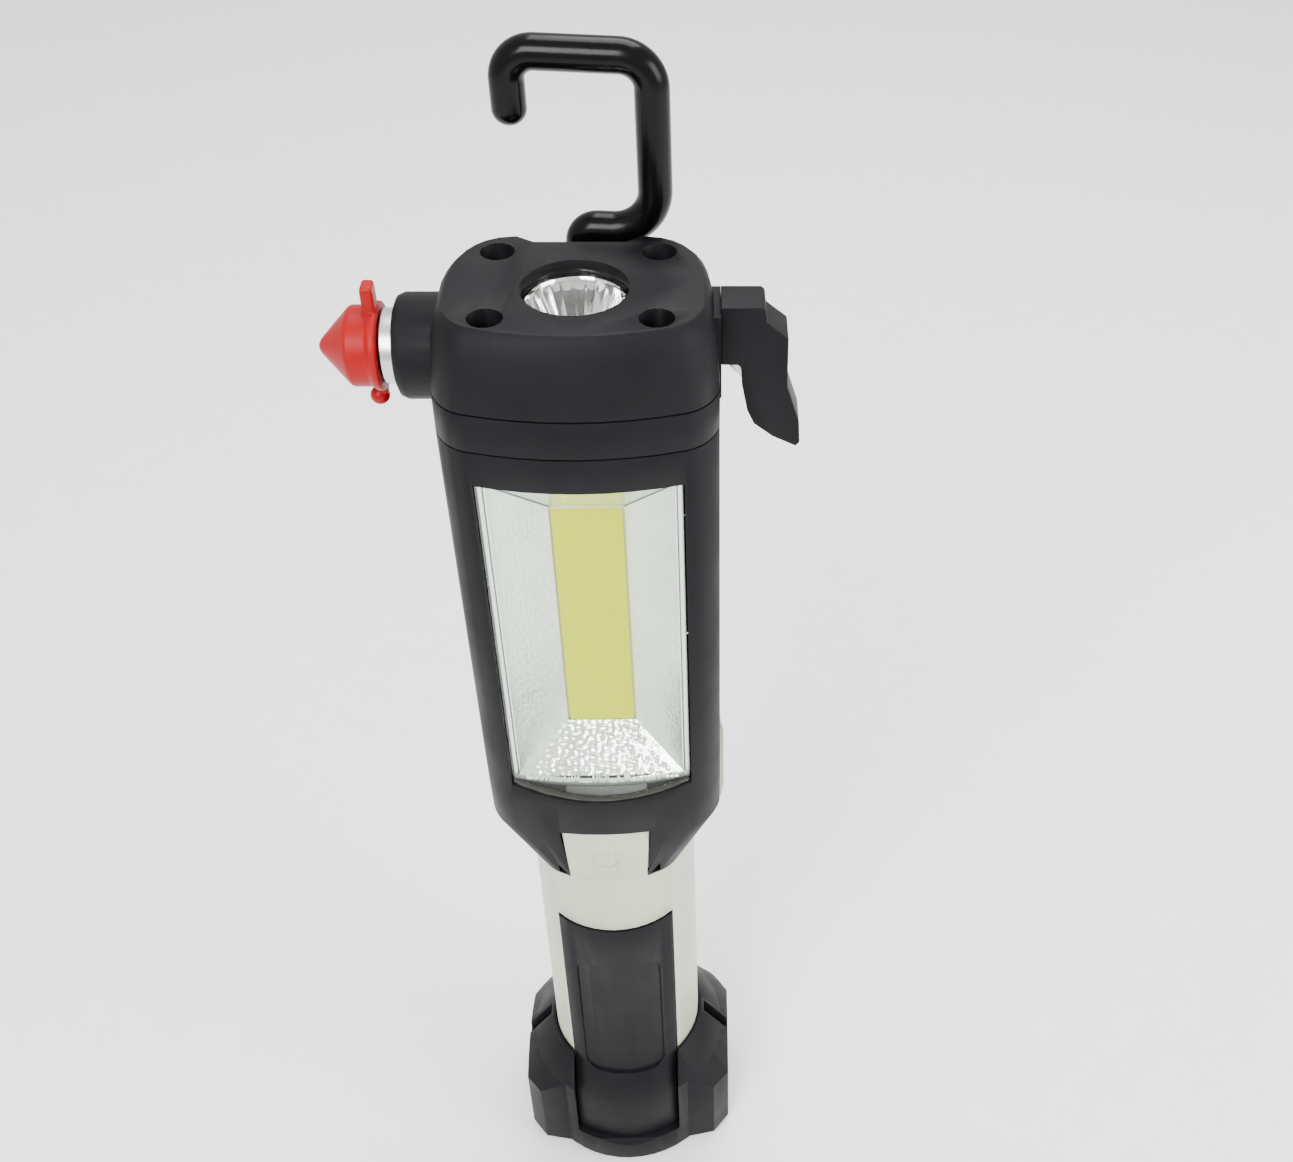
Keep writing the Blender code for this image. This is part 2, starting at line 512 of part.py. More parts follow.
def make_cob_lamp():
    """Reflector tray with sloped walls, the light strip on its board and the
    plate that spreads the strip's heat."""
    def rim(y, inset):
        return [(x, y, z) for x, z in window_outline(GAP + inset)]

    def opening(y, grow):
        half, low, high = STRIP_HALF + grow, STRIP_LOW - grow, STRIP_HIGH + grow
        floor = [(half * u, y, low) for u in (-1, -0.67, -0.33, 0, 0.33, 0.67, 1)]
        return floor + [(half, y, high), (-half, y, high)]

    wall = REFLECTOR_WALL
    tray = lofted("cob_reflector", [
        rim(-RIM_FRONT, wall), rim(-RIM_FRONT, 0), rim(-RIM_FRONT + 2.2 * MM, 0),
        opening(-STRIP_DEPTH + wall, wall), opening(-STRIP_DEPTH + wall, 0), opening(-STRIP_DEPTH, 0),
    ], closed=True)
    finish(tray, "silvered")
    board_front = -STRIP_DEPTH + wall + GAP
    board_half = STRIP_HALF + 1.6 * MM
    finish(block("cob_board", (-board_half, board_half), (board_front, board_front + BOARD),
                 (STRIP_LOW - 3 * MM, STRIP_HIGH + 3 * MM)), "board")
    strip_half = STRIP_HALF - 0.7 * MM
    finish(extruded("cob_phosphor", rounded_box(-strip_half, strip_half, STRIP_LOW + 0.7 * MM,
                                                STRIP_HIGH - 0.7 * MM, 1 * MM),
                    board_front - GAP - 0.9 * MM, board_front - GAP, "XZ"), "phosphor")
    plate = board_front + BOARD + GAP
    finish(block("heat_spreader", (-10 * MM, 10 * MM), (plate, plate + 2 * MM),
                 (STRIP_LOW - 5 * MM, STRIP_HIGH + 5 * MM)), "aluminium")
    finish(block("driver_board", (-13 * MM, 13 * MM), (plate + 4 * MM, plate + 4 * MM + BOARD),
                 (134 * MM, STRIP_HIGH)), "board")


# ---------------------------------------------------------------- top torch
def make_torch():
    centre = (0, TORCH_Y)
    seat = HEAD_TOP - TORCH_LIP
    outer = TORCH_RADIUS + 1.0 * MM - GAP
    lens_low = seat - GAP - 1.0 * MM
    finish(disc("torch_lens", outer, lens_low, seat - GAP, centre, steps=30), "clear")
    top, bottom, throat = lens_low - GAP, DECK_LINE + 6.4 * MM, 2.6 * MM
    mouth = TORCH_RADIUS - 0.3 * MM

    def bowl(z, offset):
        share = (z - bottom) / (top - bottom)
        return math.sqrt(throat ** 2 + share * (mouth ** 2 - throat ** 2)) + offset

    heights = [top + (bottom - top) * i / 5 for i in range(6)]
    inside = [(bowl(z, 0), z) for z in heights]
    outside = [(bowl(z, 0.8 * MM), z) for z in reversed(heights[1:])]
    profile = inside + outside + [(outer, top - 1.2 * MM), (outer, top)]
    finish(turned("torch_reflector", profile, centre, steps=30), "silvered")
    board_top = bottom - 0.9 * MM
    finish(disc("torch_board", 8 * MM, board_top - BOARD, board_top, centre, steps=24), "board")
    dome = [(0, board_top + GAP)] + arc((0, board_top + GAP), 2.1 * MM, 0, 90, 4)[:-1]
    finish(turned("torch_led", dome + [(0, board_top + GAP + 2.1 * MM)], centre, steps=14), "phosphor")


# ---------------------------------------------------------------- hook
def make_hook():
    """Round rod, bent: stem, lower bar, right leg, top bar and left tip."""
    bends = [(0, HOOK_BAR_Z, 3.0 * MM), (HOOK_RIGHT, HOOK_BAR_Z, 8.0 * MM),
             (HOOK_RIGHT, HOOK_TOP_Z, 5.5 * MM), (HOOK_LEFT, HOOK_TOP_Z, 5.0 * MM)]
    corners = [(0, BLOCK_TOP)] + [(x, z) for x, z, _ in bends] + [(HOOK_LEFT, HOOK_END_Z)]
    shoulder = BLOCK_TOP + GAP
    path = [(0, FOLD_Z + 5.8 * MM, STEM_R), (0, shoulder - 0.1 * MM, STEM_R), (0, shoulder, HOOK_ROD_R)]
    for k, (x, z, radius) in enumerate(bends):
        here, before, after = Vector((x, z)), Vector(corners[k]), Vector(corners[k + 2])
        back, ahead = (before - here).normalized(), (after - here).normalized()
        enter, leave = here + back * radius, here + ahead * radius
        centre = enter + ahead * radius
        for i in range(6):
            turn = i / 5 * math.pi / 2
            point = centre - ahead * radius * math.cos(turn) - back * radius * math.sin(turn)
            path.append((point.x, point.y, HOOK_ROD_R))
        assert (leave - centre).length < radius * 1.01
    for drop, share in ((3.1, 1.0), (2.1, 0.95), (1.2, 0.80), (0.5, 0.52), (0.0, 0.25)):
        path.append((HOOK_LEFT, HOOK_END_Z + drop * MM, HOOK_ROD_R * share))
    curve = bpy.data.curves.new("hook", "CURVE")
    curve.dimensions = "3D"
    curve.bevel_depth = HOOK_ROD_R
    curve.bevel_resolution = 4
    curve.use_fill_caps = True
    spline = curve.splines.new("POLY")
    spline.points.add(len(path) - 1)
    for point, (x, z, radius) in zip(spline.points, path):
        point.co = (x * math.cos(HOOK_TURN), HOOK_Y + x * math.sin(HOOK_TURN), z, 1)
        point.radius = radius / HOOK_ROD_R
    hook = bpy.data.objects.new("hook", curve)
    bpy.context.scene.collection.objects.link(hook)
    finish(hook, "gloss_black")
    washer_low = FOLD_Z + 6.6 * MM
    washer = [(STEM_R + 0.15 * MM, washer_low), (STEM_R + 1.0 * MM, washer_low),
              (STEM_R + 1.0 * MM, washer_low + 1.2 * MM), (STEM_R + 0.15 * MM, washer_low + 1.2 * MM)]
    finish(turned("hook_washer", washer, (0, HOOK_Y), steps=20), "steel")


def make_hook_mount():
    """Bracket on the back, fold pin, and the block that the stem turns in."""
    block_top = disc("hook_block", BLOCK_R, FOLD_Z, BLOCK_TOP, (0, HOOK_Y), steps=28)
    knuckle = disc("block_knuckle", 3.6 * MM, -BLOCK_R, BLOCK_R, (HOOK_Y, FOLD_Z), "X", 22)
    join(block_top, knuckle)
    cut(block_top, disc("block_bore", STEM_R + GAP, FOLD_Z + 7 * MM, BLOCK_TOP + 1 * MM, (0, HOOK_Y), steps=18),
        block("block_window", (-6 * MM, 6 * MM), (HOOK_Y - 3.5 * MM, HOOK_Y + 3.5 * MM),
              (FOLD_Z + 5.2 * MM, FOLD_Z + 8.6 * MM)),
        disc("block_pin_bore", FOLD_PIN_R + GAP, -6 * MM, 6 * MM, (HOOK_Y, FOLD_Z), "X", 20))
    finish(block_top, "soft_black")
    inner, outer = BLOCK_R + GAP, BLOCK_R + GAP + 2.3 * MM
    seat = HEAD_BACK - RECESS_DEPTH + GAP
    bracket = extruded("hook_bracket", rounded_box(-outer - 0.6 * MM, outer + 0.6 * MM, FOLD_Z - 26 * MM,
                                                     FOLD_Z + 6 * MM, 1.5 * MM),
                       seat, seat + BRACKET_PLATE, "XZ")
    ears = []
    for side, x in (("left", (-outer, -inner)), ("right", (inner, outer))):
        root = seat + BRACKET_PLATE / 2
        form = [(root, FOLD_Z - 8 * MM)] + arc((HOOK_Y, FOLD_Z), 3.8 * MM, -60, 90, 6) + [(root, FOLD_Z + 5 * MM)]
        ears.append(extruded(f"bracket_ear_{side}", form, *x, "YZ"))
    join(bracket, *ears)
    cut(bracket, disc("bracket_pin_bore", FOLD_PIN_R + GAP, -12 * MM, 12 * MM, (HOOK_Y, FOLD_Z), "X", 20))
    head_h = 1.2 * MM
    head_y = seat + BRACKET_PLATE + GAP + head_h
    for i, centre in enumerate(BRACKET_SCREWS):
        cut(bracket, disc(f"bracket_hole_{i}", BRACKET_SCREW_R + GAP, 10 * MM, 30 * MM, centre, "Y", 14))
        screw(f"bracket_screw_{i + 1}",
              screw_profile(head_y, 6.5 * MM, 1, 2.1 * MM, head_h, BRACKET_SCREW_R), centre, "Y")
    finish(bracket, "soft_black")
    pin = disc("hook_pin", FOLD_PIN_R, -outer, outer, (HOOK_Y, FOLD_Z), "X", 20)
    finish(pin, "steel")


# ---------------------------------------------------------------- sides
def make_hammer():
    """Steel glass-breaker point with a collar and stud, its nut, and the red
    cap that pulls off it."""
    centre = (0, SIDE_Z)
    collar_in = -BOSS_END + 5.0 * MM
    rim = -CAP_RIM_X + GAP
    point = [(0, -42.0 * MM), (3.9 * MM, -36.4 * MM), (3.9 * MM, rim), (TIP_COLLAR_R, rim),
             (TIP_COLLAR_R, collar_in), (STUD_R, collar_in), (STUD_R, -17.2 * MM), (0, -17.2 * MM)]
    finish(turned("hammer_tip", point, centre, "X", 28), "steel")
    nut_in = HEAD_HALF_WIDTH - WALL - 1.3 * MM
    nut = [(math.cos(math.radians(60 * i)) * 5 * MM, SIDE_Z + math.sin(math.radians(60 * i)) * 5 * MM)
           for i in range(6)]
    nut = extruded("hammer_nut", nut, -nut_in, -nut_in + 2.6 * MM, "YZ")
    cut(nut, disc("nut_bore", STUD_R + 0.15 * MM, -30 * MM, -10 * MM, centre, "X", 24))
    finish(nut, "steel")
    r, inner = CAP_R, CAP_R - CAP_WALL
    shell = [(inner, -CAP_RIM_X), (r + 0.7 * MM, -CAP_RIM_X), (r + 0.7 * MM, -CAP_RIM_X - 1.3 * MM),
             (r, -CAP_RIM_X - 1.7 * MM), (r, -CAP_SHOULDER_X), (1.4 * MM, -CAP_TIP_X + 0.7 * MM),
             (0.6 * MM, -CAP_TIP_X + 0.1 * MM), (0, -CAP_TIP_X), (0, -CAP_TIP_X + 2 * MM),
             (inner, -CAP_SHOULDER_X - 0.2 * MM)]
    cap = turned("hammer_cap", shell, centre, "X", 26)
    tab = block("cap_tab", (-CAP_RIM_X - 2.5 * MM, -CAP_RIM_X - 0.2 * MM), (-1.7 * MM, 1.7 * MM),
                (SIDE_Z + r - 0.4 * MM, SIDE_Z + 12.2 * MM))
    lug = block("cap_lug", (-CAP_RIM_X - 2.4 * MM, -CAP_RIM_X - 0.3 * MM), (-1.1 * MM, 1.1 * MM),
                (SIDE_Z - 10.0 * MM, SIDE_Z - r + 0.4 * MM))
    bead_r, bead_z = 1.7 * MM, SIDE_Z - 10.2 * MM
    bead = turned("cap_bead", [(0, bead_z - bead_r)] + [(bead_r * math.cos(math.radians(a)), bead_z + bead_r
                  * math.sin(math.radians(a))) for a in (-60, -30, 0, 30, 60)] + [(0, bead_z + bead_r)],
                  (-CAP_RIM_X - 2.2 * MM, 0), steps=12)
    join(cap, tab, lug, bead)
    finish(cap, "red")


def make_cutter():
    """Hooked arm with a belt slot beside the head and a blade across its throat."""
    root, slot_top = PAD_X + GAP, SIDE_Z - 1.8 * MM
    inner = root + BELT_SLOT
    outline = [(root, GUARD_TOP), (root, slot_top), (inner - 0.7 * MM, slot_top),
               (inner, slot_top - 0.8 * MM), (inner, 228.6 * MM), (inner + 1.0 * MM, 223.0 * MM),
               (inner + 2.2 * MM, 220.2 * MM), (inner + 5.6 * MM, 217.4 * MM), (38.4 * MM, 215.2 * MM),
               (39.1 * MM, 216.0 * MM), (38.9 * MM, 220.4 * MM), (36.6 * MM, 228.0 * MM),
               (36.6 * MM, 237.9 * MM), (32.8 * MM, 241.1 * MM), (32.6 * MM, GUARD_TOP - 0.6 * MM),
               (32.0 * MM, GUARD_TOP)]
    arm = extruded("cutter_guard", outline, -GUARD_HALF, GUARD_HALF, "XZ")
    tenon = block("guard_tenon", (19.6 * MM, root + 1 * MM), (-GUARD_HALF + 0.9 * MM, GUARD_HALF - 0.9 * MM),
                  (SIDE_Z, GUARD_TOP - 4 * MM))
    join(arm, tenon)
    blade = [(root + 0.9 * MM, 236.6 * MM), (inner + 4.6 * MM, 236.6 * MM), (inner + 4.6 * MM, 226.8 * MM),
             (inner + 0.9 * MM, 226.8 * MM), (root + 0.9 * MM, 230.6 * MM)]
    slit = [(root - 1 * MM, 237.2 * MM), (inner + 5.1 * MM, 237.2 * MM), (inner + 5.1 * MM, 226.2 * MM),
            (inner - 1 * MM, 226.2 * MM), (root - 1 * MM, 229.9 * MM)]
    half = BLADE_THICK / 2
    cut(arm, extruded("blade_slit", slit, -half - GAP, half + GAP, "XZ"))
    pin_at = (inner + 2.9 * MM, 233.4 * MM)
    pin_r, pin_end = 0.8 * MM, -GUARD_HALF + 1.5 * MM    # the pin goes in from behind
    cut(arm, disc("guard_pin_bore", pin_r + GAP, pin_end - GAP, 6 * MM, pin_at, "Y", 14))
    finish(arm, "soft_black")
    blade = extruded("cutter_blade", blade, -half, half, "XZ")
    cut(blade, disc("blade_hole", pin_r + GAP, -6 * MM, 6 * MM, pin_at, "Y", 14))
    finish(blade, "steel")
    finish(disc("cutter_pin", pin_r, pin_end, GUARD_HALF, pin_at, "Y", 14), "dark_metal")


# ---------------------------------------------------------------- power button
BUTTON_FRONT = HEAD_FRONT - 1.9 * MM + BUTTON_PROUD   # |y| of its middle
BUTTON_BACK_Y = 18.2 * MM     # |y| of the pocket behind the head's lip
TUBE_NOTCH_HALF = 11.3 * MM


def make_button():
    """Button with a captive flange, the stem behind it, the switch and its board."""
    cap = extruded("power_button", button_outline(), -BUTTON_FRONT, -BUTTON_BACK_Y + 1.0 * MM, "XZ")
    crown = [(-12 * MM, -BUTTON_FRONT + 1.1 * MM), (-6 * MM, -BUTTON_FRONT + 0.35 * MM), (0, -BUTTON_FRONT),
             (6 * MM, -BUTTON_FRONT + 0.35 * MM), (12 * MM, -BUTTON_FRONT + 1.1 * MM), (12 * MM, 0), (-12 * MM, 0)]
    keep_inside(cap, extruded("button_crown", crown, 100 * MM, 140 * MM))
    flange_front = -BUTTON_BACK_Y + GAP
    flange = extruded("button_flange", button_outline(0, BUTTON_FLANGE), flange_front,
                      flange_front + 1.0 * MM, "XZ")
    join(cap, flange)
    finish(cap, "cream")
    middle = (0, (BUTTON_LOW + BUTTON_HIGH) / 2)
    back = flange_front + 1.0 * MM
    stem_tip = back + GAP + 2.0 * MM
    finish(disc("switch_stem", 1.5 * MM, back + GAP, stem_tip, middle, "Y", 16), "dark_metal")
    switch_front = stem_tip - 0.8 * MM
    switch = block("tact_switch", (-3 * MM, 3 * MM), (switch_front, switch_front + 3 * MM),
                   (middle[1] - 3 * MM, middle[1] + 3 * MM))
    cut(switch, disc("switch_well", 1.5 * MM + GAP, switch_front - 1 * MM,
                     stem_tip + BUTTON_TRAVEL + 0.3 * MM, middle, "Y", 16))
    finish(switch, "dark_metal")
    board = switch_front + 3 * MM + GAP
    finish(block("switch_board", (-8.5 * MM, 8.5 * MM), (board, board + BOARD),
                 (BUTTON_LOW, BUTTON_HIGH + 3 * MM)), "board")


# ---------------------------------------------------------------- handle
TUBE_LOW = BASE_FLOOR + 2 * GAP


def make_handle():
    flange_low = HEAD_BOTTOM + 14.4 * MM + GAP
    top = flange_low + FLANGE_H
    inner = HANDLE_R - HANDLE_WALL
    tube = turned("handle_tube", [(inner, TUBE_LOW), (HANDLE_R, TUBE_LOW), (HANDLE_R, flange_low),
                                  (FLANGE_R, flange_low), (FLANGE_R, top), (inner, top)], steps=48)
    cut(tube, block("tube_notch", (-TUBE_NOTCH_HALF, TUBE_NOTCH_HALF), (-40 * MM, -8 * MM),
                    (BUTTON_LOW - BUTTON_FLANGE - 0.5 * MM, 140 * MM)))
    for name, way in (("front", -1), ("back", 1)):
        pocket = ring_sector(f"grip_pocket_{name}", HANDLE_R - GRIP_SUNK, HANDLE_R + 4 * MM,
                             GRIP_HALF + GAP, TONGUE_BOTTOM - 3 * MM, GRIP_TOP + GAP, way)
        cut(tube, pocket)
        make_grip(f"grip_{name}", way)
    finish(tube, "cream")


def ring_sector(name, inner, outer, half, low, high, way):
    """The part of a tube between two radii that lies within half of x = 0, in
    front (way -1) or behind (way 1).  Its sides are flat and parallel."""
    def edge(radius, steps=10):
        end = math.degrees(math.asin(half / radius))
        return arc((0, 0), radius, 90 * way - end, 90 * way + end, steps)

    return extruded(name, edge(outer) + edge(inner)[::-1], low, high)


def make_grip(name, way):
    """Soft inlay let into the handle, with a shallow finger panel and a thicker
    tongue that drops into the base's slot."""
    sunk = HANDLE_R - GRIP_SUNK + GAP
    proud = HANDLE_R + GRIP_PROUD
    stations = [(TONGUE_BOTTOM, TONGUE_R), (TONGUE_TOP - 5 * MM, TONGUE_R),
                (TONGUE_TOP + 3 * MM, proud), (GRIP_TOP, proud)]
    rings = []
    for z, outer in stations:
        def edge(radius):
            end = math.degrees(math.asin(GRIP_HALF / radius))
            return arc((0, 0), radius, 90 * way - end, 90 * way + end, 10)
        rings.append([(x, y, z) for x, y in edge(outer) + edge(sunk)[::-1]])
    grip = lofted(name, rings)
    panel_half = GRIP_HALF - 3.0 * MM
    panel = extruded(f"{name}_panel", rounded_box(-panel_half, panel_half, TONGUE_TOP + 2 * MM,
                                                  GRIP_TOP - 14 * MM, 3 * MM),
                     *sorted((way * 10 * MM, way * 30 * MM)), "XZ")
    floor = turned(f"{name}_panel_floor", [(proud - 0.35 * MM, 20 * MM), (proud + 5 * MM, 20 * MM),
                                           (proud + 5 * MM, 100 * MM), (proud - 0.35 * MM, 100 * MM)], steps=48)
    keep_inside(panel, floor)
    panel.hide_render = True
    cut(grip, panel)
    finish(grip, "soft_black")


# ---------------------------------------------------------------- base
def make_base():
    """Rubber bumper cup with four corner lobes, and the plug that carries it."""
    bore = HANDLE_R + GAP
    cup = turned("base_cup", [(MAGNET_R + GAP, 0), (BASE_R - 1.4 * MM, 0), (BASE_R, 1.4 * MM),
                              (BASE_R, BASE_SHOULDER), (bore + 0.6 * MM, BASE_TOP), (bore, BASE_TOP),
                              (bore, BASE_FLOOR), (MAGNET_R + GAP, BASE_FLOOR)], steps=48)
    lobe_ring = []
    for x, y in ((1, 1), (-1, 1), (-1, -1), (1, -1)):
        corner = [(LOBE_X, LOBE_Y - LOBE_CUT - 1.0 * MM), (LOBE_X - LOBE_CUT + 0.6 * MM, LOBE_Y - 0.6 * MM),
                  (LOBE_X - LOBE_CUT - 5.6 * MM, LOBE_Y + 0.6 * MM)]
        points = [(x * a, y * b) for a, b in corner]
        lobe_ring += points if x * y > 0 else points[::-1]
    slope = (BASE_TOP - BASE_SHOULDER) / (BASE_R - bore)
    lobes = []
    for z, share in ((0.4 * MM, 0.96), (1.7 * MM, 1.0), (BASE_SHOULDER - 1 * MM, 1.0), (BASE_TOP + 2 * MM, 0.74)):
        lobes.append([(x * share, y * share, z) for x, y in lobe_ring])
    lobes = lofted("base_lobes", lobes)
    cone_r = BASE_R + 5.5 * MM
    cut(lobes, disc("lobe_bore", bore + 1.3 * MM, -1 * MM, 40 * MM, steps=40),
        turned("lobe_slope", [(bore - 0.4 * MM, BASE_TOP), (cone_r, BASE_TOP - (cone_r - bore) * slope),
                              (cone_r + 9 * MM, BASE_TOP - 10 * MM), (cone_r + 9 * MM, BASE_TOP + 9 * MM),
                              (bore - 0.4 * MM, BASE_TOP + 9 * MM)], steps=44))
    join(cup, lobes)
    slot_low = TONGUE_BOTTOM - GAP
    for way in (-1, 1):
        cut(cup, extruded(f"tongue_slot_{way}", [(-GRIP_HALF - GAP, way * 5 * MM), (GRIP_HALF + GAP, way * 5 * MM),
                                                 (GRIP_HALF + GAP, way * 40 * MM), (-GRIP_HALF - GAP, way * 40 * MM)],
                          slot_low, 60 * MM))
        ease = [(way * (BASE_R + 1 * MM), slot_low - 3 * MM), (way * (BASE_R + 1 * MM), slot_low + 1 * MM),
                (way * (TONGUE_R + 0.4 * MM), slot_low + 1 * MM), (way * (TONGUE_R + 0.4 * MM), slot_low)]
        cut(cup, extruded(f"slot_ease_{way}", ease, -GRIP_HALF - GAP, GRIP_HALF + GAP, "YZ"))
    notch_in = bore + 1.2 * MM
    for name, x in (("left", (-40 * MM, -notch_in)), ("right", (notch_in, 40 * MM))):
        cut(cup, block(f"notch_{name}", x, (-NOTCH_HALF, NOTCH_HALF), (NOTCH_FLOOR, 60 * MM)))
    screw_y = HANDLE_R - 3.3 * MM
    inner = HANDLE_R - HANDLE_WALL - GAP
    for i, y in enumerate((-screw_y, screw_y)):
        cut(cup, stepped_bore(f"cup_bore_{i}", 2.2 * MM, SCREW_R * 0.8 + GAP, -1 * MM, 2.6 * MM, 10 * MM, (0, y)))
        screw(f"base_screw_{i + 1}", screw_profile(1.0 * MM, 6.8 * MM, -1, 1.9 * MM, 1.3 * MM, SCREW_R * 0.8), (0, y))
    finish(cup, "soft_black")
    plug_low, plug_high = BASE_FLOOR + GAP, BASE_FLOOR + 7 * MM
    groove = (plug_low + 2.4 * MM, plug_low + 4.8 * MM)
    plug = turned("base_plug", [(0, plug_low), (inner, plug_low), (inner, groove[0]), (inner - 1.4 * MM, groove[0]),
                                (inner - 1.4 * MM, groove[1]), (inner, groove[1]), (inner, plug_high),
                                (0, plug_high)], steps=30)
    for i, y in enumerate((-screw_y, screw_y)):
        cut(plug, disc(f"plug_pilot_{i}", SCREW_R * 0.8 + GAP, 0, groove[0] - 0.3 * MM, (0, y), steps=10))
    finish(plug, "soft_black")
    ring_r, mid = 0.85 * MM, (groove[0] + groove[1]) / 2
    section = [(inner - 1.4 * MM + GAP + ring_r + ring_r * math.cos(math.radians(a)),
                mid + ring_r * math.sin(math.radians(a))) for a in range(0, 360, 60)]
    section = [(min(r, inner + 0.1 * MM), z) for r, z in section]
    finish(turned("base_seal", section, steps=24), "soft_black")
    finish(disc("base_magnet", MAGNET_R, 0, BASE_FLOOR, steps=40), "steel")
    return plug_high


def make_batteries(floor):
    """Carrier with three AA cells, their springs and the contact board above."""
    plate_r = HANDLE_R - HANDLE_WALL - 0.25 * MM
    low = floor + GAP
    cells_low = low + CARRIER_PLATE + SPRING_HEIGHT + 2 * GAP
    cells_high = cells_low + CELL_LENGTH
    top_low = cells_high + CELL_NUB_H + GAP
    carrier = disc("battery_carrier", plate_r, low, low + CARRIER_PLATE, steps=40)
    top = disc("carrier_top", plate_r, top_low, top_low + CARRIER_PLATE, steps=40)
    spread = CELL_R * 2 / math.sqrt(3) + 0.02 * MM
    spines = []
    for i in range(3):
        away = math.radians(150 + 120 * i)
        spine = block(f"carrier_spine_{i}", (plate_r - 2.6 * MM, plate_r - 0.3 * MM), (-1.9 * MM, 1.9 * MM),
                      (low + 1 * MM, top_low + 1 * MM))
        spine.data.transform(Matrix.Rotation(away, 4, "Z"))
        spines.append(spine)
        angle = math.radians(90 + 120 * i)
        centre = (spread * math.cos(angle), spread * math.sin(angle))
        cell_r = CELL_R - 0.1 * MM
        finish(turned(f"cell_{i + 1}", [(0, cells_low), (cell_r - 0.6 * MM, cells_low), (cell_r, cells_low + 0.6 * MM),
                                        (cell_r, cells_high - 0.6 * MM), (cell_r - 0.6 * MM, cells_high),
                                        (CELL_NUB_R, cells_high), (CELL_NUB_R, cells_high + CELL_NUB_H),
                                        (0, cells_high + CELL_NUB_H)], centre, steps=24), "cell_wrap")
        make_cell_spring(f"cell_spring_{i + 1}", centre, low + CARRIER_PLATE + GAP, cells_low - GAP)
    join(carrier, top, *spines)
    finish(carrier, "soft_black")
    contact_low = top_low + CARRIER_PLATE + GAP
    finish(disc("contact_stud", 3 * MM, contact_low, contact_low + 2.5 * MM, steps=20), "brass")
    board_low = contact_low + 2.5 * MM + GAP
    finish(disc("contact_board", plate_r, board_low, board_low + BOARD, steps=36), "board")


def make_cell_spring(name, centre, low, high):
    """Conical wire spring, two and a half turns, wide at its foot."""
    wire, turns, steps = 0.35 * MM, 2.5, 22
    curve = bpy.data.curves.new(name, "CURVE")
    curve.dimensions = "3D"
    curve.bevel_depth = wire
    curve.bevel_resolution = 0
    curve.use_fill_caps = True
    spline = curve.splines.new("POLY")
    spline.points.add(steps)
    for i, point in enumerate(spline.points):
        t = i / steps
        radius = (4.2 - 2.2 * t) * MM
        angle = 2 * math.pi * turns * t
        point.co = (centre[0] + radius * math.cos(angle), centre[1] + radius * math.sin(angle),
                    low + wire + (high - low - 2 * wire) * t, 1)
    spring = bpy.data.objects.new(name, curve)
    bpy.context.scene.collection.objects.link(spring)
    finish(spring, "steel")


make_head_cap()
make_head_deck()
make_shells()
make_rear_saddle()
make_window_lens()
make_cob_lamp()
make_torch()
make_hook()
make_hook_mount()
make_hammer()
make_cutter()
make_button()
make_handle()
make_batteries(make_base())
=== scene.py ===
# %% [markdown]
# # A work light with a hook, a torch, a glass breaker and a belt cutter
#
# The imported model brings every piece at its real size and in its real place. This
# lesson gives those pieces their finish: eased edges, turned and swept surfaces,
# and materials made from nodes. Lengths are in metres.

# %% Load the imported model
import json
import math

import bmesh
import bpy
import numpy as np
from mathutils import Matrix, Vector


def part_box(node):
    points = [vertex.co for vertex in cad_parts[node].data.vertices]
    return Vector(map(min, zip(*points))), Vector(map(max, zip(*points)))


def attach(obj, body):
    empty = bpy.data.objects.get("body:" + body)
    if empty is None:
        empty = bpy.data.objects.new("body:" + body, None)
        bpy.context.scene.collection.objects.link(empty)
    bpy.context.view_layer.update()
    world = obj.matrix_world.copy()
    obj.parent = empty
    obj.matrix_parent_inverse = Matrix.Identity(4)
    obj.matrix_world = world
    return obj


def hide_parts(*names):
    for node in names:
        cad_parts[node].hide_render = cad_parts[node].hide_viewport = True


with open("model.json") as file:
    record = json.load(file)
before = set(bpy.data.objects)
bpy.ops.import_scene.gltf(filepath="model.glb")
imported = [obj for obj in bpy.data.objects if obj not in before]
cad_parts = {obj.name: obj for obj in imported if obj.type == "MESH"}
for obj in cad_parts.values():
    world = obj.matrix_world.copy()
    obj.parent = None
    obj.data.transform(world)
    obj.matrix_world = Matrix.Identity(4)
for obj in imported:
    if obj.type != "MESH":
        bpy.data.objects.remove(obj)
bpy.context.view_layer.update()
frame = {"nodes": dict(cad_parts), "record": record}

MM = 0.001
BODY_OF = {node: body for body, nodes in frame["record"]["behaviour"]["bodies"].items()
           for node in nodes}
SLOT_OF = {part["node"]: part["material_slot"] for part in frame["record"]["subparts"]}

# %% [markdown]
# ## Materials
#
# Almost every surface is a moulded plastic or a metal. Both are one Principled BSDF
# whose colour and roughness drift a little from place to place, with a fine grain
# in the normal. One function builds that, and each finish is a call of it. The
# grain is a noise in Object coordinates, so it is the same size on every piece.

# %% One function for grained finishes
LOW_NOISE, HIGH_NOISE = 0.3, 0.7      # the noise values that get the two end colours


